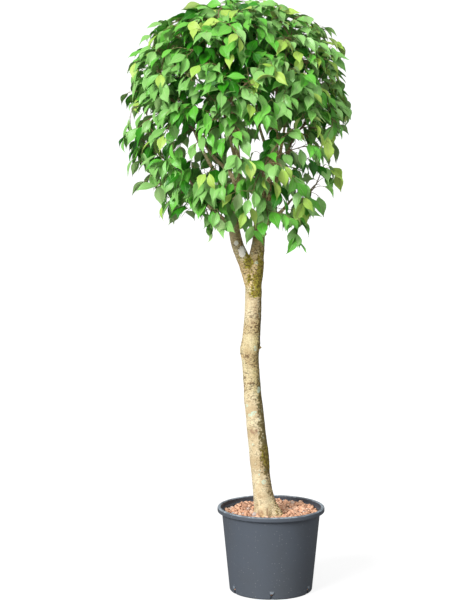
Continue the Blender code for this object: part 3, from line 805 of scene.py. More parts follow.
@dataclass(frozen=True)
class LeafFinish:
    """A glossy leaf of one tint: paler along its midrib and veins, and duller and paler underneath."""

    tint: Tint
    colour: Triple
    shade: Triple
    under: Triple
    gloss: float = 0.31
    specular: float = 0.32
    # Veins to a leaf's length, and how far each slants forwards from the midrib.
    vein_pitch: float = 58.0
    vein_slant: float = 42.0

    def material(self, effects: Effects) -> Material:
        """The finish as a material. It reads each leaf's tone and its place on the blade from the mesh.

        Args:
            effects: The shared node groups.

        Returns:
            The material.
        """
        coat = Coat(f"leaf {self.tint.value}", effects, self.gloss, self.shade)
        wiring = coat.wiring
        blade = wiring.node("ShaderNodeUVMap", {"uv_map": "blade"}).outputs["UV"]
        across, along, _ = wiring.node("ShaderNodeSeparateXYZ", None, Vector=blade).outputs
        out = wiring.maths("ABSOLUTE", wiring.maths("SUBTRACT", across, 0.5))
        midrib = wiring.remap(out, 0.045, 0.012)
        slant = wiring.times(out, self.vein_slant)
        climb = wiring.maths("SUBTRACT", wiring.times(along, self.vein_pitch), slant)
        veins = wiring.remap(wiring.maths("SINE", climb), 0.55, 1.0)
        coat.paint(wiring.attribute("tone"), self.colour)
        clouds = coat.effect(effects.mottle, Scale=38.0, Low=0.35, High=0.70)
        coat.paint(clouds, self.shade, 0.22)
        coat.paint(wiring.most(wiring.times(midrib, 0.55), wiring.times(veins, 0.14)), self.under)
        facing = wiring.node("ShaderNodeNewGeometry").outputs["Backfacing"]
        coat.paint(facing, self.under, 0.62)
        coat.relief(wiring.plus(wiring.times(midrib, -1.0), wiring.times(veins, -0.25)), 0.0007, 0.6)
        coat.shader.inputs["Specular IOR Level"].default_value = self.specular
        gloss = wiring.remap(clouds, 0.0, 1.0, self.gloss, self.gloss + 0.08)
        return coat.finish(wiring.plus(wiring.times(facing, 0.26), gloss))


@dataclass(frozen=True)
class StalkFinish:
    """Leaf stalks: slim and yellow-green."""

    colour: Triple = (0.280, 0.380, 0.100)
    ripe: Triple = (0.360, 0.270, 0.110)

    def material(self, effects: Effects) -> Material:
        """The finish as a material.

        Args:
            effects: The shared node groups.

        Returns:
            The material.
        """
        coat = Coat("leaf stalks", effects, 0.55, self.colour)
        coat.paint(coat.effect(effects.mottle, Scale=45.0, Low=0.40, High=0.62), self.ripe)
        coat.relief(coat.effect(effects.grain, Scale=900.0), 0.0002, 0.4)
        return coat.finish()


@dataclass(frozen=True)
class FloorFinish:
    """A plain pale studio floor that glows a little, so that shadows on it stay faint."""

    colour: Triple = (0.260, 0.260, 0.260)
    cloud: Triple = (0.255, 0.257, 0.260)
    glow: float = 0.82

    def material(self, effects: Effects) -> Material:
        """The finish as a material.

        Args:
            effects: The shared node groups.

        Returns:
            The material.
        """
        coat = Coat("studio floor", effects, 0.85, self.colour)
        coat.paint(coat.effect(effects.mottle, Scale=0.8, Low=0.30, High=0.70), self.cloud)
        coat.shader.inputs["Emission Color"].default_value = rgba((1.0, 1.0, 1.0))
        seen = coat.wiring.node("ShaderNodeLightPath").outputs["Is Camera Ray"]
        coat.wiring.feed(coat.shader.inputs["Emission Strength"], coat.wiring.times(seen, self.glow))
        return coat.finish()


LEAF_FINISHES = (
    # Deep: the dark green of old leaves, made darker still as painted shade for the crown's inside, where it
    # mostly hangs.
    LeafFinish(Tint.DEEP, (0.038, 0.300, 0.009), (0.011, 0.112, 0.002), (0.120, 0.350, 0.055), 0.28),
    LeafFinish(Tint.MID, (0.172, 0.530, 0.070), (0.098, 0.440, 0.032), (0.315, 0.550, 0.170)),
    LeafFinish(Tint.FRESH, (0.272, 0.535, 0.158), (0.192, 0.500, 0.096), (0.395, 0.560, 0.238)),
    LeafFinish(Tint.LIME, (0.425, 0.620, 0.112), (0.320, 0.555, 0.076), (0.500, 0.640, 0.230), 0.38),
    LeafFinish(Tint.FADING, (0.560, 0.440, 0.060), (0.400, 0.280, 0.045), (0.560, 0.460, 0.140), 0.50),
)


# ---- Paths ----


def bearing_vector(bearing: float) -> Vector:
    """The level direction at a bearing in degrees."""
    turn = math.radians(bearing)
    return Vector((math.cos(turn), math.sin(turn), 0.0))


def through(keys: Sequence[Vector | float], share: float) -> Vector | float:
    """The place on a smooth curve through keys.

    Args:
        keys: Points or numbers.
        share: How far along the keys, from 0 to 1.

    Returns:
        A point or a number, as the keys are.
    """
    place = share * (len(keys) - 1)
    i = min(int(place), len(keys) - 2)
    t = place - i
    a, b = keys[i], keys[i + 1]
    before = keys[i - 1] if i > 0 else a + (a - b)
    after = keys[i + 2] if i + 2 < len(keys) else b + (b - a)
    return 0.5 * (
        2 * a
        + (b - before) * t
        + (2 * before - 5 * a + 4 * b - after) * t**2
        + (3 * a - before - 3 * b + after) * t**3
    )


def spaced(keys: Path, values: Sequence[float], count: int) -> tuple[Path, list[float]]:
    """Points and values evenly spaced along the smooth curve through keys.

    Args:
        keys: The points that the curve runs through.
        values: A number at each of them.
        count: How many places to give.

    Returns:
        The points, and the numbers there.
    """
    fine = 24 * (len(keys) - 1)
    shares = [k / fine for k in range(fine + 1)]
    points = [through(keys, s) for s in shares]
    walked = [0.0]
    for a, b in zip(points, points[1:]):
        walked.append(walked[-1] + (b - a).length)
    chosen = []
    k = 0
    for n in range(count):
        wanted = walked[-1] * n / (count - 1)
        while k < fine - 1 and walked[k + 1] < wanted:
            k += 1
        chosen.append(shares[k] + (wanted - walked[k]) / (walked[k + 1] - walked[k]) / fine)
    return [through(keys, s) for s in chosen], [through(values, s) for s in chosen]


def bezier(a: Vector, b: Vector, c: Vector, d: Vector, t: float) -> Vector:
    """The point at t on the cubic curve with these four controls."""
    s = 1.0 - t
    return a * s**3 + b * (3 * s * s * t) + c * (3 * s * t * t) + d * t**3


def directions_along(points: Path) -> Path:
    """The direction of a path at each of its points."""
    last = len(points) - 1
    return [(points[min(i + 1, last)] - points[max(i - 1, 0)]).normalized() for i in range(last + 1)]


def on_path(path: Path, share: float) -> Vector:
    """The point a share of the way along straight pieces of equal count."""
    place = share * (len(path) - 1)
    k = min(int(place), len(path) - 2)
    return path[k].lerp(path[k + 1], place - k)


def length_of(path: Path) -> float:
    """The length of a path of straight pieces."""
    return sum((b - a).length for a, b in zip(path, path[1:]))


@dataclass
class Limb:
    """A tapering limb: the places along it, its radius at each, and the way it heads there."""

    points: Path
    radii: list[float]
    ahead: Path

    @classmethod
    def along(cls, keys: Rings, rings: int) -> "Limb":
        """The limb with evenly spaced rings along the smooth curve through keys.

        Args:
            keys: Places with the limb's radius at each.
            rings: How many rings it has.

        Returns:
            The limb.
        """
        points, radii = spaced([p for p, _ in keys], [r for _, r in keys], rings)
        return cls(points, radii, directions_along(points))

    def part(self, first: int, last: int) -> "Limb":
        """The part of the limb between two of its rings."""
        rings = slice(first, last + 1)
        return Limb(self.points[rings], self.radii[rings], self.ahead[rings])

    def ring_at(self, height: float) -> int:
        """The number of the ring nearest to a height."""
        return min(range(len(self.points)), key=lambda k: abs(self.points[k].z - height))

    def at_height(self, height: float) -> tuple[Vector, Vector, float]:
        """The place, direction and radius of a rising limb at a height.

        Args:
            height: The height.

        Returns:
            The place, the direction and the radius.
        """
        k = next(i for i in range(len(self.points) - 1) if self.points[i + 1].z > height)
        a, b = self.points[k], self.points[k + 1]
        t = (height - a.z) / (b.z - a.z)
        ahead = self.ahead[k].lerp(self.ahead[k + 1], t).normalized()
        return a.lerp(b, t), ahead, self.radii[k] + (self.radii[k + 1] - self.radii[k]) * t

    def samples(self, between: int = 4) -> list[tuple[Vector, float]]:
        """Points along the limb with its radius at each, several to each span between rings.

        Args:
            between: How many points each span has.

        Returns:
            The points with their radii.
        """
        found = []
        rings = list(zip(self.points, self.radii))
        for (a, start), (b, end) in zip(rings, rings[1:]):
            for k in range(between):
                t = k / between
                found.append((a.lerp(b, t), start + (end - start) * t))
        return found + [rings[-1]]


# ---- The plant's frame of limbs, by the source's rule ----


@dataclass
class TrunkForm:
    """The trunk's course and girth, with its root toes and the scars of cut branches."""

    foot: float = 0.2595
    top: float = 1.058
    axis: tuple[Triple, ...] = (
        (-0.018, -0.036, 0.260), (-0.032, -0.032, 0.364), (-0.054, -0.024, 0.584), (-0.067, -0.015, 0.745),
        (-0.066, -0.012, 0.825), (-0.060, -0.008, 0.940), (-0.058, -0.005, 1.058),
    )
    radii: tuple[float, ...] = (0.0320, 0.0308, 0.0302, 0.0272, 0.0282, 0.0276, 0.0255)
    # Bearing, how far the toe stands out, and how high up the trunk it begins.
    toes: tuple[Triple, ...] = (
        (-8.0, 0.0270, 0.040), (-98.0, 0.0200, 0.030), (78.0, 0.0140, 0.034), (168.0, 0.0090, 0.030),
    )
    toe_sharpness: int = 5
    toe_fall: float = 1.3
    # Height, bearing, how far the scar stands out, half its height.
    scars: tuple[tuple[float, float, float, float], ...] = (
        (0.802, 178.0, 0.0085, 0.030), (0.822, -10.0, 0.0022, 0.012), (0.455, 5.0, 0.0028, 0.040),
        (0.640, -150.0, 0.0024, 0.022), (0.560, 100.0, 0.0036, 0.024),
    )
    scar_sharpness: int = 3

    def place(self, height: float) -> tuple[Vector, float]:
        """The middle of the trunk at a height, and its girth there as a radius.

        Args:
            height: The height.

        Returns:
            The middle and the radius.
        """
        keys = [Vector(key) for key in self.axis]
        low, high = 0.0, 1.0
        for _ in range(24):
            share = (low + high) / 2
            if through(keys, share).z < height:
                low = share
            else:
                high = share
        centre = through(keys, share)
        return Vector((centre.x, centre.y, height)), through(self.radii, share)

    def swelling(self, height: float, bearing: float) -> float:
        """How far the toes and scars stand out of the trunk at a height and bearing.

        Args:
            height: The height.
            bearing: The bearing from the trunk's middle.

        Returns:
            The distance.
        """
        out = 0.0
        for toe_bearing, rise, reach in self.toes:
            facing = max(0.0, math.cos(math.radians(bearing - toe_bearing)))
            above = max(0.0, height - self.foot)
            out += rise * facing**self.toe_sharpness * math.exp(-((above / reach) ** self.toe_fall))
        for scar_height, scar_bearing, rise, half in self.scars:
            facing = max(0.0, math.cos(math.radians(bearing - scar_bearing)))
            out += rise * facing**self.scar_sharpness * math.exp(-(((height - scar_height) / half) ** 2))
        return out


@dataclass
class Crown:
    """The crown's outline: a dome with a flatter top, boxier than a ball, that hangs lower than it rises."""

    centre: Triple = (-0.108, 0.000, 1.640)
    radius: float = 0.350
    rise: float = 0.288
    drop: float = 0.455
    upper_power: float = 2.5
    lower_power: float = 3.0
    waves: float = 0.035

    @property
    def middle(self) -> Vector:
        """The crown's centre as a vector."""
        return Vector(self.centre)

    def reach(self, direction: Vector) -> float:
        """How far the outline stands from the centre in a direction.

        Args:
            direction: The direction, of length 1.

        Returns:
            The distance.
        """
        flat = math.hypot(direction.x, direction.y)
        if direction.z > 0:
            height, power = self.rise, self.upper_power
        else:
            height, power = self.drop, self.lower_power
        powers = (flat / self.radius) ** power + (abs(direction.z) / height) ** power
        bearing = math.atan2(direction.y, direction.x)
        wave = math.sin(3 * bearing + 4 * direction.z) + math.sin(5 * bearing - 7 * direction.z)
        return powers ** (-1 / power) * (1 + self.waves * 0.5 * wave)

    def overhang(self, point: Vector) -> float:
        """How far out a point stands, as a share of the crown's reach in its direction."""
        out = point - self.middle
        return out.length / self.reach(out.normalized())

    def lattice(self, count: int, lowest: float) -> Iterator[tuple[int, Vector]]:
        """Directions spread evenly over the crown by the golden angle.

        Args:
            count: How many directions a whole ball would have.
            lowest: The upward part below which none is given.

        Returns:
            The number of each direction, and the direction.
        """
        for k in range(count):
            z = 1.0 - (2 * k + 1) / count
            if z >= lowest:
                flat = math.sqrt(1 - z * z)
                turn = k * GOLDEN_ANGLE
                yield k, Vector((flat * math.cos(turn), flat * math.sin(turn), z))


@dataclass
class MassPlan:
    """A mass of leaves: where its middle is, the stem that carries it and how high its bough leaves that."""

    name: str
    centre: Vector
    stem: Side
    leaves_at: float | None


@dataclass
class Skeleton:
    """The trunk's form, the leaders of its fork, the boughs, and the masses of leaves that they carry."""

    trunk: TrunkForm = field(default_factory=TrunkForm)
    crown: Crown = field(default_factory=Crown)
    fork_top: float = 1.150
    leader_rings: int = 17
    left_leader: tuple[Key, ...] = (
        ((-0.062, -0.006, 1.005), 0.0215), ((-0.080, -0.008, 1.072), 0.0235),
        ((-0.098, -0.011, 1.114), 0.0212), ((-0.112, -0.014, 1.150), 0.0202),
        ((-0.125, -0.020, 1.221), 0.0178), ((-0.123, -0.027, 1.296), 0.0150),
        ((-0.112, -0.034, 1.420), 0.0108), ((-0.127, -0.036, 1.600), 0.0058),
    )
    right_leader: tuple[Key, ...] = (
        ((-0.058, -0.004, 1.005), 0.0240), ((-0.053, 0.000, 1.072), 0.0275),
        ((-0.048, 0.004, 1.114), 0.0245), ((-0.043, 0.008, 1.150), 0.0210),
        ((-0.038, 0.015, 1.221), 0.0190), ((-0.022, 0.023, 1.320), 0.0150),
        ((0.012, 0.034, 1.440), 0.0108), ((0.014, 0.042, 1.600), 0.0058),
    )
    # Tier, height, distance from the crown's axis, masses, first bearing, span of heights of their boughs.
    tiers: tuple[tuple[str, float, float, int, float, tuple[float | None, float]], ...] = (
        ("low", 1.375, 0.225, 6, -10.0, (1.200, 1.270)),
        ("mid", 1.600, 0.235, 6, 20.0, (1.310, 1.400)),
        ("high", 1.800, 0.165, 4, -20.0, (None, 1.490)),
    )
    tier_stagger: float = 0.040
    bough_rings: int = 7
    bough_share: float = 0.62
    bough_foot_share: float = 0.62
    bough_tip_radius: float = 0.0044
    bough_taper: float = 0.8
    # How a bough leaves its stem (along it, outwards) and how it reaches its tip (along the whole way,
    # upwards), each with the reach of its bend as a share of the bough's span.
    bough_start: Triple = (0.55, 0.65, 0.36)
    bough_end: Triple = (0.8, 0.35, 0.34)

    def __post_init__(self) -> None:
        """Works out the leaders, the masses and the boughs."""
        keys = {Side.LEFT: self.left_leader, Side.RIGHT: self.right_leader}
        self.leaders = {
            side: Limb.along([(Vector(spot), radius) for spot, radius in leader], self.leader_rings)
            for side, leader in keys.items()
        }
        self.stems = {
            side: leader.part(leader.ring_at(self.fork_top), self.leader_rings - 1)
            for side, leader in self.leaders.items()
        }
        self.masses = self.plan_masses()
        self.boughs = {mass.name: self.plan_bough(mass) for mass in self.masses if mass.leaves_at is not None}

    def carrier(self, mass: MassPlan) -> Limb:
        """The limb whose tip a mass grows from: its bough, or the stem itself."""
        return self.boughs.get(mass.name, self.stems[mass.stem])

    def plan_masses(self) -> list[MassPlan]:
        """The masses of the crown, tier by tier.

        Returns:
            One plan for each mass.
        """
        masses = []
        for tier, height, distance, count, first, (lowest, highest) in self.tiers:
            bearings = [(first + 360.0 * k / count) % 360.0 for k in range(count)]
            sides = {Side.LEFT: [b for b in bearings if 91.0 < b < 271.0]}
            sides[Side.RIGHT] = [b for b in bearings if b not in sides[Side.LEFT]]
            for side, sector in sides.items():
                for rank, bearing in enumerate(sorted(sector, key=depth_order)):
                    if lowest is None:
                        leaves_at = highest if rank else None
                    else:
                        leaves_at = lowest + (highest - lowest) * rank / (len(sector) - 1)
                    stagger = self.tier_stagger if bearings.index(bearing) % 2 else -self.tier_stagger
                    axis = Vector((self.crown.centre[0], self.crown.centre[1], height + stagger))
                    centre = axis + bearing_vector(bearing) * distance
                    masses.append(MassPlan(f"{tier}_{side_name(bearing)}", centre, side, leaves_at))
        return masses

    def plan_bough(self, mass: MassPlan) -> Limb:
        """The bough that carries a mass: it leaves the stem at a slant and turns up towards the mass.

        Args:
            mass: The mass to carry.

        Returns:
            The bough.
        """
        foot, along, girth = self.stems[mass.stem].at_height(mass.leaves_at)
        reach = mass.centre - foot
        tip = foot + reach * self.bough_share
        span = (tip - foot).length
        out = Vector((reach.x, reach.y, 0.0)).normalized()
        forth, outward, bend = self.bough_start
        first = foot + (along * forth + out * outward).normalized() * span * bend
        onward, upward, bend = self.bough_end
        second = tip - (reach.normalized() * onward + UP * upward).normalized() * span * bend
        thick = girth * self.bough_foot_share
        keys = []
        for k in range(5):
            t = k / 4
            radius = thick + (self.bough_tip_radius - thick) * t**self.bough_taper
            keys.append((bezier(foot, first, second, tip, t), radius))
        return Limb.along(keys, self.bough_rings)

    def limbs(self) -> list[Limb]:
        """Every limb above the trunk."""
        return [*self.leaders.values(), *self.boughs.values()]

    def leaf_nodes(self) -> list[str]:
        """The solids' nodes that hold the masses of leaves."""
        return [f"leaves_{mass.name}" for mass in self.masses]


def side_name(bearing: float) -> str:
    """A plain name for the side of the crown at a bearing.

    Args:
        bearing: The bearing.

    Returns:
        The name, such as front or left_back.
    """
    out = bearing_vector(bearing)
    words = []
    if abs(out.x) > 0.5:
        words.append("right" if out.x > 0 else "left")
    if abs(out.y) > 0.5:
        words.append("back" if out.y > 0 else "front")
    return "_".join(words)


def depth_order(bearing: float) -> float:
    """Puts a bearing straight to the side first, then one to the front, then one to the back."""
    out = bearing_vector(bearing)
    return abs(out.y) + (0.01 if out.y > 0 else 0.0)


class LimbRoom:
    """Finds the limb surface nearest to a point, so that nothing grows into it."""

    thickest: float = 0.035

    def __init__(self, skeleton: Skeleton) -> None:
        """Gathers places along the trunk and every limb.

        Args:
            skeleton: The limbs.
        """
        self.places = [s for limb in skeleton.limbs() for s in limb.samples()]
        trunk = skeleton.trunk
        steps = 60
        for k in range(steps + 1):
            self.places.append(trunk.place(trunk.foot + (trunk.top - trunk.foot) * k / steps))
        self.tree = KDTree(len(self.places))
        for k, (point, _) in enumerate(self.places):
            self.tree.insert(point, k)
        self.tree.balance()

    def nearest(self, point: Vector) -> tuple[Vector, float]:
        """The middle and the radius of the limb nearest to a point."""
        _, k, _ = self.tree.find(point)
        return self.places[k]

    def clear(self, points: Path, room: float) -> bool:
        """Whether all points stand clear of the limbs' surfaces by some room.

        Args:
            points: The points.
            room: How far they keep away.

        Returns:
            True if they all do.
        """
        for point in points:
            for _, k, distance in self.tree.find_range(point, self.thickest + room):
                if distance < self.places[k][1] + room:
                    return False
        return True


# ---- Pot and granules ----


def arc(centre: Pair, radius: float, start: float, end: float, steps: int) -> list[Pair]:
    """Points of a round corner in a profile.

    Args:
        centre: The corner's middle, as radius and height.
        radius: The corner's own radius.
        start: Its first angle in degrees, from outwards towards up.
        end: Its last angle.
        steps: How many straight pieces it has.

    Returns:
        The points, both ends included.
    """
    turns = [math.radians(start + (end - start) * k / steps) for k in range(steps + 1)]
    return [(centre[0] + radius * math.cos(turn), centre[1] + radius * math.sin(turn)) for turn in turns]


@dataclass(frozen=True)
class Wedge:
    """A block of a niche: its height, its width at both ends, and how far from the axis its back stands."""

    low: float
    high: float
    low_width: float
    high_width: float
    low_back: float
    high_back: float

    def block(self, front: float) -> Piece:
        """The wedge as a solid that faces the front.

        Args:
            front: How far out from the axis its upright side stands.

        Returns:
            The solid.
        """
        height, depth = self.high - self.low, front - self.low_back
        middle = (0.0, -(front + self.low_back) / 2, (self.low + self.high) / 2)
        deselect_all()
        bpy.ops.mesh.primitive_cube_add(size=1.0, location=middle, scale=(self.low_width, abs(depth), height))
        block = bpy.context.object
        bpy.ops.object.transform_apply(location=True, rotation=True, scale=True)
        with editing(block):
            bpy.ops.mesh.select_all(action="DESELECT")
            bpy.ops.object.mode_set(mode="OBJECT")
            for polygon in block.data.polygons:
                polygon.select = polygon.normal.z > 0.9
            bpy.ops.object.mode_set(mode="EDIT")
            shares = (self.high_width / self.low_width, (front - self.high_back) / depth, 1.0)
            bpy.ops.transform.resize(value=shares, center_override=(0.0, -front, self.high))
        return block


@dataclass
class Pot:
    """A turned nursery pot with a rolled rim, and drain niches sunk into its thick foot."""

    height: float = 0.280
    rim_radius: float = 0.1775
    neck_radius: float = 0.1630
    foot_radius: float = 0.1375
    wall: float = 0.0030
    foot_round: float = 0.006
    rim_depth: float = 0.016
    rim_top_round: float = 0.0055
    rim_foot_round: float = 0.0030
    rim_inner_radius: float = 0.1660
    rim_inner_round: float = 0.0035
    thick_foot_height: float = 0.046
    thick_foot_radius: float = 0.1245
    ledge_rise: float = 0.006
    sides: int = 128
    wall_loops: int = 8
    niche_count: int = 6
    edge_width: float = 0.0006
    # Loops close to the wall's ends, so that its shading stays even.
    end_loop: float = 0.0012
    hood: Wedge = Wedge(0.0205, 0.0300, 0.0085, 0.0165, 0.1430, 0.1402)
    hood_foot: float = 0.1340
    hole: Wedge = Wedge(0.0125, 0.0207, 0.0085, 0.0085, 0.1080, 0.1080)
    groove: Wedge = Wedge(-0.0020, 0.0132, 0.0175, 0.0078, 0.1310, 0.1330)

    def outer_radius(self, height: float) -> float:
        """The wall's outer radius at a height between the foot and the rim."""
        low, high = self.foot_round, self.height - self.rim_depth
        return self.foot_radius + (self.neck_radius - self.foot_radius) * (height - low) / (high - low)

    def inner_radius(self, height: float) -> float:
        """The wall's inner radius at a height above the thick foot."""
        return self.outer_radius(height) - self.wall

    def profile(self) -> list[Pair]:
        """The pot's section as radius and height, from its underside up the outside and down the inside.

        Returns:
            The points of the section.
        """
        neck = self.height - self.rim_depth
        foot, top, low, inner = self.foot_round, self.rim_top_round, self.rim_foot_round, self.rim_inner_round
        points = arc((self.foot_radius - foot, foot), foot, -90.0, 0.0, 5)
        heights = [foot + (neck - foot) * k / self.wall_loops for k in range(1, self.wall_loops)]
        for height in (foot + self.end_loop, *heights, neck - self.end_loop, neck):
            points.append((self.outer_radius(height), height))
        points += arc((self.rim_radius - low, neck + low), low, -90.0, 0.0, 4)
        points += arc((self.rim_radius - top, self.height - top), top, 0.0, 90.0, 6)
        points += arc((self.rim_inner_radius + inner, self.height - inner), inner, 90.0, 180.0, 5)
        ledge = self.thick_foot_height + self.ledge_rise
        return [
            *points,
            (self.rim_inner_radius, neck + self.wall),
            (self.inner_radius(neck - self.wall), neck - self.wall),
            (self.inner_radius(ledge), ledge),
            (self.thick_foot_radius, self.thick_foot_height),
            (self.thick_foot_radius, 2 * self.wall),
            (self.thick_foot_radius - self.wall, self.wall),
        ]

    def cut_niches(self, shell: Piece) -> None:
        """Sets a small hood over each drain niche and sinks the niches into the foot, one facing the front.

        Args:
            shell: The turned pot.
        """
        front = self.foot_radius + 5 * self.wall
        cuts = ((self.hole, front, "DIFFERENCE"), (self.groove, front, "DIFFERENCE"))
        for wedge, upright, operation in ((self.hood, self.hood_foot, "UNION"), *cuts):
            blocks = [wedge.block(upright)]
            for k in range(1, self.niche_count):
                pick(blocks[0])
                bpy.ops.object.duplicate()
                blocks.append(bpy.context.object)
                turn = 2 * math.pi * k / self.niche_count
                bpy.ops.transform.rotate(value=turn, orient_axis="Z", center_override=(0.0, 0.0, 0.0))
            tool = joined(blocks)
            finish_with(shell, "BOOLEAN", operation=operation, solver="EXACT", object=tool)
            bpy.data.objects.remove(tool)

    def build(self, finish: Material) -> Piece:
        """Makes the pot and hands it over.

        Args:
            finish: The pot's material.

        Returns:
            The pot.
        """
        shell = turned(self.profile(), self.sides)
        self.cut_niches(shell)
        corners = {"limit_method": "ANGLE", "angle_limit": math.radians(40.0)}
        finish_with(shell, "BEVEL", width=self.edge_width, segments=2, **corners)
        settle(shell, "nursery_pot")
        smooth_by_angle(shell, 32.0)
        finish_with(shell, "WEIGHTED_NORMAL", keep_sharp=True, weight=60)
        hand_over(shell, ["pot"], finish)
        return shell


@dataclass
class GranuleFill:
    """Clay granules: a bed that fills the pot, and stones heaped on it."""

    pot: Pot
    skeleton: Skeleton
    edge_level: float = 0.2545
    middle_level: float = 0.2610
    brow: float = 2.4
    seed: int = 5
    sides: int = 96
    stone_radii: Pair = (0.0056, 0.0102)
    small_radii: Pair = (0.0034, 0.0060)
    tries: int = 16000
    small_tries: int = 9000
    crowding: float = 0.82
    jostle: float = 0.0042
    niche_stones: int = 7
    front_depth: float = 0.0035
    side_depth: float = 0.0080
    dip: float = 0.0045
    dip_scale: float = 17.0
    back_rise: float = 0.052
    right_rise: float = 0.026
    rise_reach: float = 0.1
    # How far the bed stops short of the pot's wall, and how far it lies under the heap's level.
    play: float = 0.0006
    bed_sunk: float = 0.003
    # The bed's value on the granules' ramp: the dusky end, as painted shade between the stones.
    bed_painted_shade: float = 0.02
    bed_dip: float = 0.0016
    bed_dip_scale: float = 130.0
    small_sunk: float = 0.0050
    # The share of stones of any size, and how much larger than the smallest the others may be.
    mixed_share: float = 0.6
    small_span: Pair = (1.0, 1.35)
    # How deep a stone's lumps are, and how often they come round it, for its large and its small ones.
    lumps: tuple[Pair, Pair] = ((0.42, 1.5), (0.16, 3.8))
    # The least and the greatest share of a stone's radius along each of its axes.
    stone_spans: tuple[Pair, Pair, Pair] = ((0.95, 1.25), (0.75, 1.0), (0.60, 0.92))
    tip_over: float = 0.5

    def level(self, distance: float) -> float:
        """The height of the heap at a distance from the pot's axis."""
        share = distance / self.pot.inner_radius(self.edge_level)
        return self.middle_level + (self.edge_level - self.middle_level) * share**self.brow

    def heaped(self, spot: Vector) -> float:
        """The height of the heap at a place, with its hollows and its rise at the back."""
        dips = self.dip * noise.noise(Vector((spot.x * self.dip_scale, spot.y * self.dip_scale, 0.3)))
        rise = max(0.0, spot.y) * self.back_rise + max(0.0, spot.x + 0.5 * spot.y) * self.right_rise
        return self.level(spot.length) + dips + rise * min(1.0, spot.length / self.rise_reach)

    def bed(self) -> Piece:
        """The bed: a plug that follows the inside of the pot, with an uneven top.

        Returns:
            The bed.
        """
        pot, play = self.pot, self.play
        foot, knee = pot.thick_foot_radius - play, pot.thick_foot_height + 0.008
        brim = pot.inner_radius(self.edge_level) - play
        profile = [(foot - 0.005, 2 * pot.wall), (foot, 3 * pot.wall), (foot, pot.thick_foot_height)]
        profile += [(pot.inner_radius(knee) - play, knee), (brim, self.edge_level)]
        for k in range(1, 7):
            radius = brim * (1 - k / 7)
            profile.append((radius, self.level(radius) - self.bed_sunk))
        plug = turned(profile, self.sides)
        finish_with(plug, "SUBSURF", subdivision_type="SIMPLE", levels=1, render_levels=1)
        for vertex in plug.data.vertices:
            if vertex.co.z > self.edge_level + play:
                vertex.co.z += self.bed_dip * noise.noise(vertex.co * self.bed_dip_scale)
        settle(plug, "clay_bed")
        # The whole bed gets the dusky end: painted shade in the gaps between the stones.
        write_values(plug.data, "shade", [self.bed_painted_shade] * len(plug.data.vertices))
        smooth_by_angle(plug, 50.0)
        return plug

    def scattered(self, rng: random.Random, radii: Pair, tries: int, sunk: float) -> Rings:
        """Stones dropped at random on the heap, none nearer to another than their crowding lets them.

        Args:
            rng: The source of chance.
            radii: The smallest and largest stone's radius.
            tries: How many stones are dropped.
            sunk: How far their middles lie under the heap's level.

        Returns:
            The middle and radius of each stone that found room.
        """
        brim = self.pot.inner_radius(self.edge_level)
        trunk = self.skeleton.trunk
        centre, girth = trunk.place(trunk.foot)
        spots = np.zeros((tries, 3))
        stones = []
        for _ in range(tries):
            mixed = rng.random() < self.mixed_share
            radius = rng.uniform(*radii) if mixed else radii[0] * rng.uniform(*self.small_span)
            out = (brim - radius * 0.9) * math.sqrt(rng.random())
            spot = bearing_vector(rng.uniform(0.0, 360.0)) * out
            taken = spots[: len(stones)]
            apart = np.hypot(taken[:, 0] - spot.x, taken[:, 1] - spot.y)
            if np.any(apart < (taken[:, 2] + radius) * self.crowding):
                continue
            away = spot - Vector((centre.x, centre.y, 0.0))
            bearing = math.degrees(math.atan2(away.y, away.x))
            if away.length < girth + trunk.swelling(trunk.foot + 0.003, bearing) + radius * 0.25:
                continue
            spots[len(stones)] = (spot.x, spot.y, radius)
            height = self.heaped(spot) - sunk + rng.uniform(-self.jostle, self.jostle)
            stones.append((spot + UP * height, radius))
        return stones

    def behind_niches(self, rng: random.Random) -> Rings:
        """Stones that show through the drain holes.

        Args:
            rng: The source of chance.

        Returns:
            Their middles and radii.
        """
        hole = self.pot.hole
        stones = []
        for k in range(self.pot.niche_count):
            bearing = -90.0 + 360.0 * k / self.pot.niche_count
            for n in range(self.niche_stones):
                radius = rng.uniform(*self.small_radii)
                depth = self.side_depth if k else self.front_depth
                out = bearing_vector(bearing + rng.uniform(-0.9, 0.9)) * (self.pot.thick_foot_radius + depth)
                share = (n + 0.5) / self.niche_stones
                height = hole.low + 0.004 + (hole.high - hole.low - 0.006) * share
                stones.append((out + UP * height, radius))
        return stones

    def stones(self) -> Piece:
        """All the loose stones as one piece, each of its own size, shape, turn and shade.

        Returns:
            The stones.
        """
        rng = random.Random(self.seed)
        deselect_all()
        bpy.ops.mesh.primitive_ico_sphere_add(subdivisions=2, radius=1.0)
        model = bpy.context.object
        shape = [vertex.co.copy() for vertex in model.data.vertices]
        cells = [tuple(polygon.vertices) for polygon in model.data.polygons]
        bpy.data.objects.remove(model)
        places = self.scattered(rng, self.stone_radii, self.tries, 0.0)
        places += self.scattered(rng, self.small_radii, self.small_tries, self.small_sunk)
        places += self.behind_niches(rng)
        (large, few), (small, many) = self.lumps
        points, faces, shades = [], [], []
        for centre, radius in places:
            first = len(points)
            turn = Matrix.Rotation(rng.uniform(0.0, 6.28), 3, "Z")
            turn = turn @ Matrix.Rotation(rng.uniform(-self.tip_over, self.tip_over), 3, "X")
            size = Vector([radius * rng.uniform(*span) for span in self.stone_spans])
            luck = Vector([rng.uniform(-50, 50) for _ in range(3)])
            for corner in shape:
                lump = 1.0 + large * noise.noise(corner * few + luck)
                lump += small * noise.noise(corner * many - luck)
                points.append(centre + turn @ Vector(corner * size * lump))
            faces += [tuple(first + k for k in cell) for cell in cells]
            shades += [rng.random()] * len(shape)
        return mesh_from_arrays("clay_stones", np.array(points), faces, {"shade": np.array(shades)})

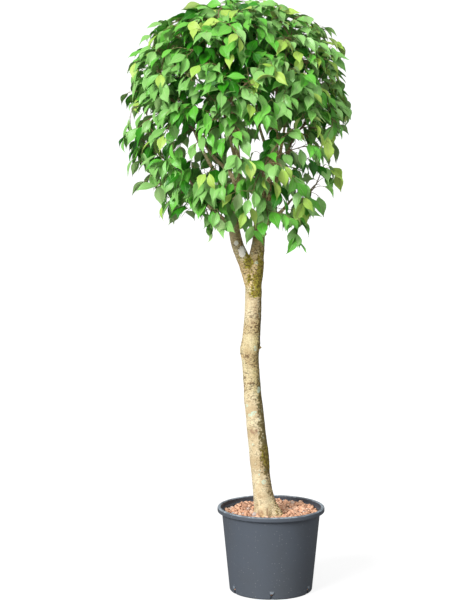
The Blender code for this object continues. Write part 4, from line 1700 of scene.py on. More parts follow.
    def build(self, finish: Material) -> list[Piece]:
        """Makes the bed and the stones and hands them over.

        Args:
            finish: The granules' material.

        Returns:
            The bed and the stones.
        """
        pieces = [self.bed(), self.stones()]
        for piece in pieces:
            hand_over(piece, ["granules"], finish)
        return pieces


# ---- Bark ----


def window(value: float, low: float, high: float, blur: float) -> float:
    """1 between low and high, fading to 0 over blur outside them."""
    rising = min(1.0, max(0.0, (value - low) / blur + 1.0))
    falling = min(1.0, max(0.0, (high - value) / blur + 1.0))
    return rising * falling


@dataclass(frozen=True)
class Band:
    """A range of places where something shows, how far it fades outside them, and how strongly it shows."""

    low: float
    high: float
    blur: float
    weight: float

    def at(self, value: float) -> float:
        """How strongly it shows at a place."""
        return self.weight * window(value, self.low, self.high, self.blur)


@dataclass(frozen=True)
class Growth:
    """A patch of moss or algae: the heights it spans, the side it faces, how far round, and how dense."""

    low: float
    high: float
    bearing: float
    least_facing: float
    blur: float
    weight: float

    def density(self, point: Vector, normal: Vector) -> float:
        """How thickly it grows at a place on the bark."""
        facing = normal.dot(bearing_vector(self.bearing))
        round_it = min(1.0, max(0.0, (facing - self.least_facing) / 0.80))
        return self.weight * round_it * window(point.z, self.low, self.high, self.blur)


@dataclass(frozen=True)
class Spot:
    """A round or oval mark on the bark: where it is, and its half width and half height."""

    place: Triple
    half_width: float
    half_height: float
    half_depth: float = 0.04

    def cover(self, point: Vector, edge: float) -> float:
        """How much of the mark shows at a place: 1 inside, fading out over edge as a share of its size.

        Args:
            point: The place.
            edge: How wide the mark's edge is.

        Returns:
            The cover, from 0 to 1.
        """
        away = point - Vector(self.place)
        across, up = away.x / self.half_width, away.z / self.half_height
        share = math.sqrt(across**2 + up**2 + (away.y / self.half_depth) ** 2)
        return min(1.0, max(0.0, (1.0 + edge - share) / edge))


@dataclass(frozen=True)
class Knot:
    """A knob on a limb: its middle, its radius, and how it is squashed along each axis."""

    place: Triple
    radius: float
    squash: Triple = (1.0, 1.0, 1.0)


@dataclass
class BarkSkin:
    """One skin of bark over the trunk, the fork, the stems and the boughs, with its relief in the mesh."""

    skeleton: Skeleton
    room: LimbRoom
    voxel: float = 0.0025
    sides: int = 48
    rings: int = 56
    ring_spread: float = 1.25
    sunk_foot: float = 0.250
    collar: float = 0.42
    collar_length: float = 0.016
    lump: float = 0.0011
    crease: float = 0.0006
    fissure: float = 0.0004
    moss_depth: float = 0.0012
    knots: tuple[Knot, ...] = (
        Knot((-0.0655, -0.004, 1.060), 0.0235, (1.0, 0.9, 1.0)),
        Knot((-0.0955, -0.0265, 1.124), 0.0085, (1.15, 0.75, 1.75)),
        Knot((-0.1140, -0.0330, 1.154), 0.0055, (1.1, 0.6, 1.2)),
        Knot((-0.0960, -0.0150, 0.784), 0.0044, (0.8, 1.1, 1.2)),
        Knot((-0.0365, -0.0180, 0.811), 0.0038, (1.3, 1.0, 1.0)),
        Knot((-0.0895, -0.0120, 1.052), 0.0050, (1.2, 1.0, 1.1)),
        Knot((-0.0215, -0.0060, 1.182), 0.0048, (1.2, 1.0, 1.3)),
        Knot((-0.1430, -0.0220, 1.248), 0.0058, (1.1, 1.0, 1.2)),
        Knot((-0.0250, 0.0110, 1.262), 0.0056, (1.2, 1.0, 1.4)),
        Knot((-0.0320, -0.0715, 0.2690), 0.0058, (1.0, 0.5, 1.3)),
    )
    # The knots from this one on are of old bark. The ones before it are the fork's swelling and the scars.
    first_old_knot: int = 3
    toes: tuple[Knot, ...] = (
        Knot((-0.0350, -0.0530, 0.2640), 0.0165, (1.0, 1.15, 1.80)),
        Knot((0.0060, -0.0560, 0.2620), 0.0135, (1.25, 1.0, 1.50)),
        Knot((0.0220, -0.0400, 0.2610), 0.0130, (1.30, 1.1, 1.40)),
    )
    moss: tuple[Growth, ...] = (
        Growth(0.979, 1.050, -32.0, -0.30, 0.006, 1.02), Growth(1.045, 1.130, -20.0, -0.10, 0.020, 0.80),
        Growth(0.995, 1.115, -100.0, 0.00, 0.015, 0.40), Growth(0.262, 0.330, 8.0, -0.10, 0.030, 0.46),
        Growth(0.418, 0.490, -14.0, 0.16, 0.014, 1.25),
    )
    moss_spots: tuple[Spot, ...] = (Spot((-0.0757, -0.030, 1.089), 0.012, 0.015),)
    # The fourth growth darkens a narrow strip along the trunk's right edge, from 0.67 to 0.985 m high.
    algae: tuple[Growth, ...] = (
        Growth(0.415, 0.520, -14.0, -0.04, 0.040, 1.12), Growth(0.520, 0.680, -8.0, 0.02, 0.060, 0.93),
        Growth(0.320, 0.400, 0.0, 0.15, 0.050, 0.70), Growth(0.670, 0.985, 2.0, 0.34, 0.030, 1.20),
        Growth(1.110, 1.420, 10.0, 0.10, 0.060, 0.66),
    )
    lichens: tuple[Spot, ...] = (
        Spot((-0.0250, -0.060, 0.373), 0.0065, 0.0075), Spot((-0.0500, -0.030, 1.090), 0.0060, 0.0055),
        Spot((-0.0525, -0.036, 0.811), 0.0050, 0.0080), Spot((-0.0420, -0.042, 0.674), 0.0060, 0.0090),
        Spot((-0.0600, 0.024, 0.880), 0.0080, 0.0100), Spot((-0.0450, 0.020, 0.480), 0.0070, 0.0110),
        Spot((-0.0690, -0.052, 0.592), 0.0062, 0.0052), Spot((-0.0610, -0.054, 0.598), 0.0070, 0.0058),
        Spot((-0.0550, -0.056, 0.603), 0.0056, 0.0040), Spot((-0.0592, -0.056, 0.4965), 0.0036, 0.0042),
        Spot((-0.0800, -0.045, 0.6230), 0.0040, 0.0044), Spot((-0.0400, -0.060, 0.3980), 0.0034, 0.0036),
    )
    stains: tuple[Spot, ...] = (
        Spot((-0.0360, -0.070, 0.2720), 0.0075, 0.0080), Spot((-0.0140, -0.062, 0.2720), 0.0022, 0.0130),
        Spot((-0.0640, -0.052, 0.5400), 0.0034, 0.0052), Spot((-0.0500, -0.056, 0.5425), 0.0030, 0.0046),
        Spot((-0.0570, -0.055, 0.5345), 0.0068, 0.0028),
    )
    calluses: tuple[Spot, ...] = (
        Spot((-0.0960, -0.032, 1.126), 0.0102, 0.0140), Spot((-0.1150, -0.036, 1.154), 0.0060, 0.0070),
    )
    # Heights of old bark and of the fork's rough bark, and the left side of the stems, which stays pale as
    # painted light where the crown's shadow falls on it.
    old: Band = Band(1.085, 3.0, 0.045, 0.60)
    rough: Band = Band(1.014, 1.090, 0.014, 0.80)
    pale: Band = Band(-1.0, -0.085, 0.010, 0.55)
    # How freckled the bark is, how much more so on its right, which is painted shade on the side away from
    # the key light, and the heights where it is more so, the upper one partly painted shade under the crown.
    freckles_and_shade: Pair = (0.42, 0.48)
    freckled: tuple[Band, Band] = (Band(0.68, 0.88, 0.06, 0.30), Band(0.985, 3.0, 0.02, 0.34))
    # Girth of a full-sized lump, and how often lumps, creases, fissures and cushions come along each axis.
    full_girth: float = 0.024
    lump_pitch: float = 17.0
    crease_pitch: Triple = (62.0, 62.0, 210.0)
    fissure_pitch: Triple = (150.0, 150.0, 19.0)
    cushion_pitch: float = 330.0

    def trunk_core(self) -> Piece:
        """The trunk's body, extruded ring by ring from a disc and swollen at its toes and scars.

        Returns:
            The body.
        """
        trunk = self.skeleton.trunk
        shares = [(k / (self.rings - 1)) ** self.ring_spread for k in range(self.rings)]
        rings = [trunk.place(self.sunk_foot + (trunk.top - self.sunk_foot) * share) for share in shares]
        core = settle(disc(self.sides, rings[0][1], rings[0][0]), "trunk_core")
        extrude_through(core, rings)
        for vertex in core.data.vertices:
            middle, _ = trunk.place(vertex.co.z)
            out = vertex.co - middle
            bearing = math.degrees(math.atan2(out.y, out.x))
            vertex.co += out.normalized() * trunk.swelling(vertex.co.z, bearing)
        return core

    def limb_core(self, name: str, limb: Limb, collar: float) -> Piece:
        """A limb's body: a curve with the limb's radius at each point, made a mesh.

        Args:
            name: The limb's name.
            limb: The limb.
            collar: How much thicker it is at its very foot, as a share.

        Returns:
            The body.
        """
        points, radii = spaced(limb.points, limb.radii, 4 * len(limb.points))
        deselect_all()
        bpy.ops.curve.primitive_bezier_curve_add()
        curve = bpy.context.object
        curve.data.splines.clear()
        spline = curve.data.splines.new("POLY")
        spline.points.add(len(points) - 1)
        for knot, point, radius in zip(spline.points, points, radii):
            swell = 1.0 + collar * math.exp(-(point - points[0]).length / self.collar_length)
            knot.co = (*point, 1.0)
            knot.radius = radius * swell
        curve.data.bevel_depth = 1.0
        curve.data.bevel_resolution = 6
        curve.data.use_fill_caps = True
        bpy.ops.object.convert(target="MESH")
        return settle(bpy.context.object, name)

    def knob(self, knot: Knot) -> Piece:
        """A knot's body: a ball squashed to its shape.

        Args:
            knot: The knot.

        Returns:
            The body.
        """
        deselect_all()
        bpy.ops.mesh.primitive_ico_sphere_add(subdivisions=3, radius=knot.radius, location=knot.place)
        ball = bpy.context.object
        with editing(ball):
            bpy.ops.transform.resize(value=knot.squash, center_override=knot.place)
        return settle(ball, "knob")

    def relief(self, skin: Piece) -> None:
        """Moves the skin's points in and out: lumps, level creases, upright fissures and cushions of moss.

        Args:
            skin: The smooth skin.
        """
        shift = Vector((3.1, 7.7, 1.3))
        moved = []
        for vertex in skin.data.vertices:
            point, normal = vertex.co, vertex.normal
            _, girth = self.room.nearest(point)
            scale = min(1.0, girth / self.full_girth)
            creased = noise.noise(point * Vector(self.crease_pitch))
            cracked = noise.noise(point * Vector(self.fissure_pitch) + shift)
            out = self.lump * noise.fractal(point * self.lump_pitch, 0.8, 2.0, 3) * scale
            out += self.crease * max(-0.25, creased) * (0.35 + 0.65 * scale)
            out -= self.fissure * max(0.0, cracked) * (0.35 + 0.65 * scale)
            moss = max(growth.density(point, normal) for growth in self.moss)
            out += self.moss_depth * moss * (0.45 + noise.noise(point * self.cushion_pitch))
            moved.extend(point + normal * out)
        skin.data.vertices.foreach_set("co", moved)
        skin.data.update()

    def mark(self, skin: Piece) -> None:
        """Writes on the mesh where the bark is old, freckled, streaked, mossy, crusted or scarred.

        Args:
            skin: The finished skin.
        """
        rows = []
        for vertex in skin.data.vertices:
            point, normal = vertex.co, vertex.normal
            knots = (Spot(k.place, k.radius, 1.2 * k.radius) for k in self.knots[self.first_old_knot :])
            # The left of the stems loses its age and stays cream: painted light where the crown's shadow
            # falls.
            age = max(self.old.at(point.z) - self.pale.at(point.x), self.rough.at(point.z))
            # The freckle value rises on the right side: painted shade away from the key light.
            freckles_and_shade = self.freckles_and_shade[0] + self.freckles_and_shade[1] * max(0.0, normal.x)
            mosses = [growth.density(point, normal) for growth in self.moss]
            row = (
                max(0.0, age, *(knot.cover(point, 0.6) for knot in knots)),
                freckles_and_shade + self.freckled[0].at(point.z) + self.freckled[1].at(point.z),
                max(growth.density(point, normal) for growth in self.algae),
                max(*mosses, *(spot.cover(point, 0.9) for spot in self.moss_spots)),
                max(spot.cover(point, 0.5) for spot in self.lichens),
                max(spot.cover(point, 0.6) for spot in self.calluses),
                0.8 * max(spot.cover(point, 0.7) for spot in self.stains),
            )
            rows.append(row)
        columns = np.array(rows, np.float32).T
        for key, numbers in zip(("age", "freckles_and_shade", "streak", "moss", "lichen", "scar", "stain"), columns):
            write_values(skin.data, key, numbers)

    def build(self, finish: Material) -> Piece:
        """Makes the skin and hands it over.

        Args:
            finish: The bark's material.

        Returns:
            The skin.
        """
        cores = [self.trunk_core()]
        for side, limb in self.skeleton.leaders.items():
            cores.append(self.limb_core(f"{side.value}_leader", limb, 0.0))
        cores += [self.limb_core(name, bough, self.collar) for name, bough in self.skeleton.boughs.items()]
        cores += [self.knob(knot) for knot in (*self.knots, *self.toes)]
        skin = joined(cores)
        grain = {"voxel_size": self.voxel, "adaptivity": 0.0}
        finish_with(skin, "REMESH", mode="VOXEL", use_smooth_shade=True, **grain)
        finish_with(skin, "SMOOTH", factor=0.5, iterations=3)
        self.relief(skin)
        settle(skin, "bark_skin")
        skin.data.shade_smooth()
        self.mark(skin)
        boughs = [f"bough_{name}" for name in self.skeleton.boughs]
        nodes = ["trunk", *(f"stem_{side.value}" for side in Side), *boughs]
        hand_over(skin, nodes, finish)
        return skin


# ---- Twigs ----


class TubeBundle:
    """Gathers slim tubes, to be one mesh."""

    def __init__(self) -> None:
        """Starts with none."""
        self.points: list[Vector] = []
        self.faces: list[tuple[int, ...]] = []
        self.youth: list[float] = []

    def add(self, path: Path, radii: Sequence[float], sides: int, youth: Pair) -> None:
        """Adds a closed tube round a path.

        Args:
            path: The tube's middle.
            radii: Its radius at each point of the path.
            sides: How many sides it has.
            youth: How young it is at its foot and its tip, from 0 to 1.
        """
        first, last = len(self.points), len(path) - 1
        ahead = directions_along(path)
        across = ahead[0].orthogonal().normalized()
        for k, (centre, direction, radius) in enumerate(zip(path, ahead, radii)):
            across = (across - direction * across.dot(direction)).normalized()
            other = direction.cross(across)
            for n in range(sides):
                turn = 2 * math.pi * n / sides
                self.points.append(centre + (across * math.cos(turn) + other * math.sin(turn)) * radius)
                self.youth.append(youth[0] + (youth[1] - youth[0]) * k / last)
        self.faces.append(tuple(first + n for n in reversed(range(sides))))
        for ring in range(last):
            for n in range(sides):
                a, b = first + ring * sides + n, first + ring * sides + (n + 1) % sides
                self.faces.append((a, b, b + sides, a + sides))
        self.faces.append(tuple(first + last * sides + n for n in range(sides)))

    def build(self, name: str) -> Piece:
        """All the tubes as one piece."""
        return mesh_from_arrays(name, np.array(self.points), self.faces, {"youth": np.array(self.youth)})


@dataclass
class Spray:
    """A twig that bears leaves: its path, and the share of it, from its foot, that bears none."""

    path: Path
    bare: float


@dataclass
class TwigGrowth:
    """The twigs of every mass: a stem from the limb's tip, twigs that arch to spots, and finer ones."""

    skeleton: Skeleton
    room: LimbRoom
    seed: int = 21
    sprays: int = 126
    spray_inset: float = 0.84
    spray_rise: float = 0.10
    stray_level: float = 0.6
    stray_every: int = 9
    stray_reach: float = 0.14
    inner_every: int = 8
    inner_inset: float = 0.58
    lowest_spray: float = -0.93
    # Sprays that stand out of the crown, or hang below it: bearing, distance from the crown's axis, height.
    lone_sprays: tuple[Triple, ...] = (
        (183.0, 0.350, 1.512), (-3.0, 0.335, 1.600), (172.0, 0.345, 1.640), (-31.0, 0.205, 1.188),
        (-26.0, 0.235, 1.268), (-122.0, 0.170, 1.232), (-92.0, 0.200, 1.762), (-80.0, 0.130, 1.728),
        (-104.0, 0.140, 1.690), (62.0, 0.200, 1.268), (88.0, 0.345, 1.520), (-82.0, 0.345, 1.650),
    )
    tries: int = 9
    arch: float = 0.15
    # A mass's stem: how far it stands in its limb, runs straight on, bends, and passes the mass's middle.
    stem_sunk: float = 0.006
    stem_collar: float = 0.008
    stem_bend: float = 0.40
    stem_beyond: float = 0.02
    # Shares of its span at which a twig's bends stand, where it starts and where it ends.
    twig_bends: Pair = (0.30, 0.25)
    fine_bends: Pair = (0.36, 0.34)
    # A finer twig's way out: shares along its parent, towards its end, and upwards.
    fine_start: Triple = (0.45, 0.65, 0.15)
    fine_way: float = 0.8
    # How far a finer twig's tip hangs, and how much less where it grows upwards.
    fine_hang: Pair = (0.60, 0.50)
    straying_cost: Pair = (1.6, 0.6)
    stem_radius: float = 0.0038
    twig_radius: float = 0.0024
    twig_tip_radius: float = 0.0013
    # Where finer twigs end, as shares of the crown's reach: near the outline, a little further out above and
    # in clumps, and every third one inside. Below, some are left out.
    fine_sprays: int = 660
    fine_inset: float = 0.895
    fine_rise: float = 0.060
    fine_play: Pair = (-0.05, 0.04)
    inside_every: int = 3
    inside_insets: Pair = (0.50, 0.78)
    clump: float = 0.12
    clump_scale: float = 2.7
    clump_shift: Triple = (4.2, 0.6, 1.7)
    thin_below: float = -0.12
    thinned: Pair = (0.34, 0.60)
    thinned_by_clumps: float = 1.3
    lone_play: Pair = (-0.03, 0.02)
    # Sprays over the middle of the crown's top.
    cap_sprays: int = 34
    cap_radius: float = 0.130
    cap_heights: Pair = (1.800, 1.905)
    # Sprays low down in front of the stems.
    skirt_sprays: int = 12
    skirt_bearings: Pair = (-140.0, -55.0)
    skirt_span: Pair = (0.085, 0.170)
    skirt_heights: Pair = (1.255, 1.360)
    fine_radius: float = 0.0013
    fine_tip_radius: float = 0.0007
    fine_span: Pair = (0.035, 0.190)
    fine_clearance: float = 0.003
    clearance: float = 0.004
    bud: float = 0.009
    bud_radius: float = 0.0002
    # The share of a twig, and of a finer one, that bears no leaves.
    bare: float = 0.30
    fine_bare: float = 0.16
    # Where a twig leaves its stem: the first share, how far the last one is from it, and the least and most.
    leaving: Pair = (0.30, 0.68)
    leaving_ends: Pair = (0.15, 0.99)
    # At each new try a twig leaves further back, ends further in, and arches less.
    try_back: float = 0.03
    try_flatter: float = 0.035

    def spots(self) -> list[Vector]:
        """The points over the crown that the source's twigs reach for.

        Returns:
            The points.
        """
        crown = self.skeleton.crown
        found = []
        for k, direction in crown.lattice(self.sprays, self.lowest_spray):
            inset = self.spray_inset + self.spray_rise * direction.z**2
            if k % self.stray_every == 0 and abs(direction.z) < self.stray_level:
                inset += self.stray_reach
            if k % self.inner_every == 2:
                inset = self.inner_inset
            found.append(crown.middle + direction * crown.reach(direction) * inset)
        return found + self.lone_spots()

    def lone_spots(self) -> list[Vector]:
        """The ends of the sprays that stand out of the crown or hang below it."""
        axis = Vector((self.skeleton.crown.centre[0], self.skeleton.crown.centre[1], 0.0))
        return [axis + UP * z + bearing_vector(bearing) * out for bearing, out, z in self.lone_sprays]

    def fine_spots(self, rng: random.Random) -> list[Vector]:
        """The points that the finer twigs reach for: near the outline, and fewer inside, most high up.

        Args:
            rng: The source of chance.

        Returns:
            The points.
        """
        crown = self.skeleton.crown
        found = []
        for k, direction in crown.lattice(self.fine_sprays, self.lowest_spray):
            clump = noise.noise(direction * self.clump_scale + Vector(self.clump_shift))
            inset = self.fine_inset + self.fine_rise * direction.z**2 + self.clump * clump
            inset += rng.uniform(*self.fine_play)
            inside = k % self.inside_every == 2
            thinned = self.thinned[inside] - self.thinned_by_clumps * clump
            if direction.z < self.thin_below and rng.random() < thinned:
                continue
            if inside:
                inset = rng.uniform(*self.inside_insets)
            found.append(crown.middle + direction * crown.reach(direction) * inset)
        for spot in self.lone_spots():
            for _ in range(2):
                found.append(spot + Vector([rng.uniform(*self.lone_play) for _ in range(3)]))
        axis = Vector((crown.centre[0], crown.centre[1], 0.0))
        for _ in range(self.cap_sprays):
            out = bearing_vector(rng.uniform(0.0, 360.0)) * rng.uniform(0.0, self.cap_radius)
            found.append(axis + out + UP * rng.uniform(*self.cap_heights))
        for _ in range(self.skirt_sprays):
            out = bearing_vector(rng.uniform(*self.skirt_bearings)) * rng.uniform(*self.skirt_span)
            found.append(axis + out + UP * rng.uniform(*self.skirt_heights))
        return found

    def nearest_mass(self, spot: Vector) -> MassPlan:
        """The mass whose space a point lies in."""
        return min(self.skeleton.masses, key=lambda mass: (spot - mass.centre).length)

    def stem(self, mass: MassPlan) -> Path:
        """The stem of a mass: it carries on from its limb's tip and bends to the mass's heart.

        Args:
            mass: The mass.

        Returns:
            The stem's path.
        """
        carrier = self.skeleton.carrier(mass)
        foot, ahead = carrier.points[-1], carrier.ahead[-1]
        outwards = (mass.centre - self.skeleton.crown.middle).normalized()
        heart = mass.centre + outwards * self.stem_beyond
        collar = foot + ahead * self.stem_collar
        bend = collar + ahead * (heart - collar).length * self.stem_bend
        way = [bezier(collar, bend, (bend + heart) / 2, heart, k / 7) for k in range(8)]
        return [foot - ahead * self.stem_sunk, *way]

    def main_twig(self, start: Vector, axis: Vector, spot: Vector, arch: float) -> Path:
        """A twig that leaves along an axis and arches over to a spot.

        Args:
            start: Where it starts.
            axis: The way it leaves.
            spot: Where it ends.
            arch: How high it arches, as a share of its span.

        Returns:
            The twig's path.
        """
        span = (spot - start).length
        first = start + axis * span * self.twig_bends[0] + UP * span * arch * 0.5
        second = spot - (spot - start) * self.twig_bends[1] + UP * span * arch
        return [bezier(start, first, second, spot, k / 7) for k in range(8)]

    def fine_twig(self, start: Vector, parent: Vector, spot: Vector) -> Path:
        """A fine twig: it leaves its parent at a slant, arches, and its tip hangs unless it grows upwards.

        Args:
            start: Where it starts.
            parent: The way its parent heads there.
            spot: Where it ends.

        Returns:
            The twig's path.
        """
        way = spot - start
        span, way = way.length, way.normalized()
        hang = self.fine_hang[0] - self.fine_hang[1] * max(0.0, way.z)
        along, onward, upward = self.fine_start
        leaving = (parent * along + way * onward + UP * upward).normalized()
        first = start + leaving * span * self.fine_bends[0]
        second = spot - (way * self.fine_way - UP * hang).normalized() * span * self.fine_bends[1]
        return [bezier(start, first, second, spot, k / 6) for k in range(7)]

    def anchor(self, spot: Vector, parents: Sequence[tuple[Vector, Vector]]) -> tuple[Vector, Vector] | None:
        """The best place on the older twigs for a finer twig to leave from.

        Args:
            spot: Where the finer twig ends.
            parents: Places along the older twigs, each with the way its twig heads there.

        Returns:
            The place and its heading, or none within reach.
        """
        best, least = None, 9.0
        for place, heading in parents:
            way = spot - place
            span = way.length
            if self.fine_span[0] < span < self.fine_span[1]:
                cost = span * (self.straying_cost[0] - self.straying_cost[1] * way.dot(heading) / span)
                if cost < least:
                    best, least = (place, heading), cost
        return best

    def grow(self) -> tuple[TubeBundle, list[Spray]]:
        """Grows every mass's twigs.

        Returns:
            The twigs' tubes, and the sprays that bear leaves.
        """
        rng = random.Random(self.seed)
        bundle, sprays = TubeBundle(), []
        spots, fine = self.spots(), self.fine_spots(rng)
        for mass in self.skeleton.masses:
            stem = self.stem(mass)
            bundle.add(stem, taper(self.stem_radius, self.twig_radius, len(stem)), 7, (0.0, 0.25))
            axis = (stem[-1] - stem[0]).normalized()
            own = [spot for spot in spots if self.nearest_mass(spot) is mass]
            order = sorted(own, key=lambda spot: (spot - stem[0]).dot(axis))
            parents = list(zip(stem, directions_along(stem)))[3:]
            for rank, spot in enumerate(order):
                twig = self.clear_twig(mass, stem, axis, spot, (rank + 1) / len(order))
                if twig:
                    bundle.add(twig, taper(self.twig_radius, self.twig_tip_radius, len(twig)), 5, (0.2, 0.6))
                    parents += list(zip(twig, directions_along(twig)))[1:]
                    sprays.append(Spray(twig, self.bare))
            for spot in fine:
                if self.nearest_mass(spot) is not mass:
                    continue
                found = self.anchor(spot, parents)
                twig = self.fine_twig(*found, spot) if found else None
                if twig and self.room.clear(twig[1:], self.fine_clearance):
                    tip = twig[-1] + (twig[-1] - twig[-2]).normalized() * self.bud
                    radii = taper(self.fine_radius, self.fine_tip_radius, len(twig))
                    bundle.add([*twig, tip], [*radii, self.bud_radius], 4, (0.5, 1.0))
                    sprays.append(Spray(twig, self.fine_bare))
        return bundle, sprays

    def clear_twig(self, mass: MassPlan, stem: Path, axis: Vector, spot: Vector, rank: float) -> Path | None:
        """A main twig from a mass's stem to a spot that keeps clear of the limbs, if one is found.

        Args:
            mass: The mass that the twig belongs to.
            stem: The mass's stem.
            axis: The way the stem heads.
            spot: Where the twig ends.
            rank: The spot's place in order along the stem, from 0 to 1.

        Returns:
            The twig's path, or none.
        """
        for attempt in range(self.tries):
            place = self.leaving[0] + self.leaving[1] * rank - self.try_back * attempt
            place = min(self.leaving_ends[1], max(self.leaving_ends[0], place))
            aim = spot.lerp(mass.centre, self.try_back * attempt)
            path = self.main_twig(on_path(stem, place), axis, aim, self.arch - self.try_flatter * attempt)
            if self.room.clear(path[1:], self.clearance):
                return path
        return None


def taper(thick: float, thin: float, count: int) -> list[float]:
    """Radii that fall evenly from thick to thin."""
    return [thick + (thin - thick) * k / (count - 1) for k in range(count)]


# ---- Leaves ----


@dataclass
class Blade:
    """One leaf as it hangs: where its blade starts, the way it points and faces, and how it is shaped."""

    root: Vector
    along: Vector
    normal: Vector
    length: float
    half_width: float
    fold: float
    curl: float
    hook: float
    twist: float
    sway: float
    ripple: float
    tone: float


@dataclass(frozen=True)
class BladeForm:
    """The outline that every blade shares: an oval, widest below its middle, with a long drip tip."""

    # Share of the length, and half the width there as a share of the greatest.
    stations: tuple[Pair, ...] = (
        (0.05, 0.20), (0.15, 0.55), (0.28, 0.88), (0.42, 1.00), (0.57, 0.82), (0.71, 0.42), (0.85, 0.12),
    )
    columns: tuple[float, ...] = (-1.0, -0.5, 0.0, 0.5, 1.0)
    # The least and the most of each bend that a blade may have.
    bends: tuple[tuple[str, Pair], ...] = (
        ("fold", (0.10, 0.55)), ("curl", (0.10, 0.85)), ("hook", (-0.20, 0.95)), ("twist", (-0.45, 0.45)),
        ("sway", (-0.10, 0.10)), ("ripple", (0.0004, 0.0016)),
    )
    # How late a blade curls, where its tip starts to hook and how late, and how far each half bulges.
    curl_power: float = 1.25
    hook_from: float = 0.62
    hook_power: float = 1.5
    bulge: float = 0.10
    ripples: float = 9.0

    def faces(self) -> list[tuple[int, ...]]:
        """The faces of one blade: a fan at its root, rows of quads, and a fan at its tip.

        Returns:
            The corners of each face.
        """
        wide, rows = len(self.columns), len(self.stations)
        tip = 1 + rows * wide
        found = [(0, 2 + c, 1 + c) for c in range(wide - 1)]
        for r in range(rows - 1):
            for c in range(wide - 1):
                a = 1 + r * wide + c
                found.append((a, a + 1, a + 1 + wide, a + wide))
        last = 1 + (rows - 1) * wide
        return found + [(last + c, last + c + 1, tip) for c in range(wide - 1)]

    def map(self) -> np.ndarray:
        """Each corner's place on the blade's map: across from 0 to 1, and along from root to tip."""
        rows = [(0.5, 0.0)]
        rows += [(0.5 + c / 2, s) for s, _ in self.stations for c in self.columns]
        return np.array([*rows, (0.5, 1.0)])

    def points(self, blades: Sequence[Blade]) -> np.ndarray:
        """The corners of many blades at once.

        Args:
            blades: The blades.

        Returns:
            One row for each corner, blade by blade.
        """
        share = np.array([0.0, *(s for s, _ in self.stations), 1.0])
        width = np.array([0.0, *(w for _, w in self.stations), 0.0])

        def column(name: str) -> np.ndarray:
            """One number of every blade, as a column."""
            return np.array([getattr(blade, name) for blade in blades])[:, None]

        length, half, fold = column("length"), column("half_width"), column("fold")
        hooked = np.clip((share - self.hook_from) / (1.0 - self.hook_from), 0.0, 1.0) ** self.hook_power
        bend = column("curl") * share**self.curl_power + column("hook") * hooked
        middle = (bend[:, 1:] + bend[:, :-1]) / 2
        step = length * np.diff(share)
        start = np.zeros((len(blades), 1))
        forth = np.concatenate([start, np.cumsum(np.cos(middle) * step, axis=1)], axis=1)
        down = np.concatenate([start, np.cumsum(np.sin(middle) * step, axis=1)], axis=1)
        rows = []
        for r in range(len(share)):
            for u in self.columns if 0 < r < len(share) - 1 else (0.0,):
                wide = half[:, 0] * width[r]
                x = u * wide * np.cos(fold[:, 0])
                lift = abs(u) * wide * np.sin(fold[:, 0]) + (self.bulge * wide if abs(u) == 0.5 else 0.0)
                phase = column("tone")[:, 0] * 20.0 + (2.1 if u > 0 else 0.0)
                lift = lift + u * u * column("ripple")[:, 0] * np.sin(self.ripples * share[r] + phase)
                turn = column("twist")[:, 0] * share[r]
                x, lift = x * np.cos(turn) - lift * np.sin(turn), x * np.sin(turn) + lift * np.cos(turn)
                x = x + column("sway")[:, 0] * length[:, 0] * share[r] ** 2
                angle = bend[:, r]
                y = forth[:, r] + lift * np.sin(angle)
                z = -down[:, r] + lift * np.cos(angle)
                rows.append(np.stack([x, y, z], axis=1))
        local = np.stack(rows, axis=1)
        axes = np.array([[blade.along.cross(blade.normal), blade.along, blade.normal] for blade in blades])
        roots = np.array([blade.root for blade in blades])
        return (np.einsum("nvk,nkj->nvj", local, axes) + roots[:, None, :]).reshape(-1, 3)


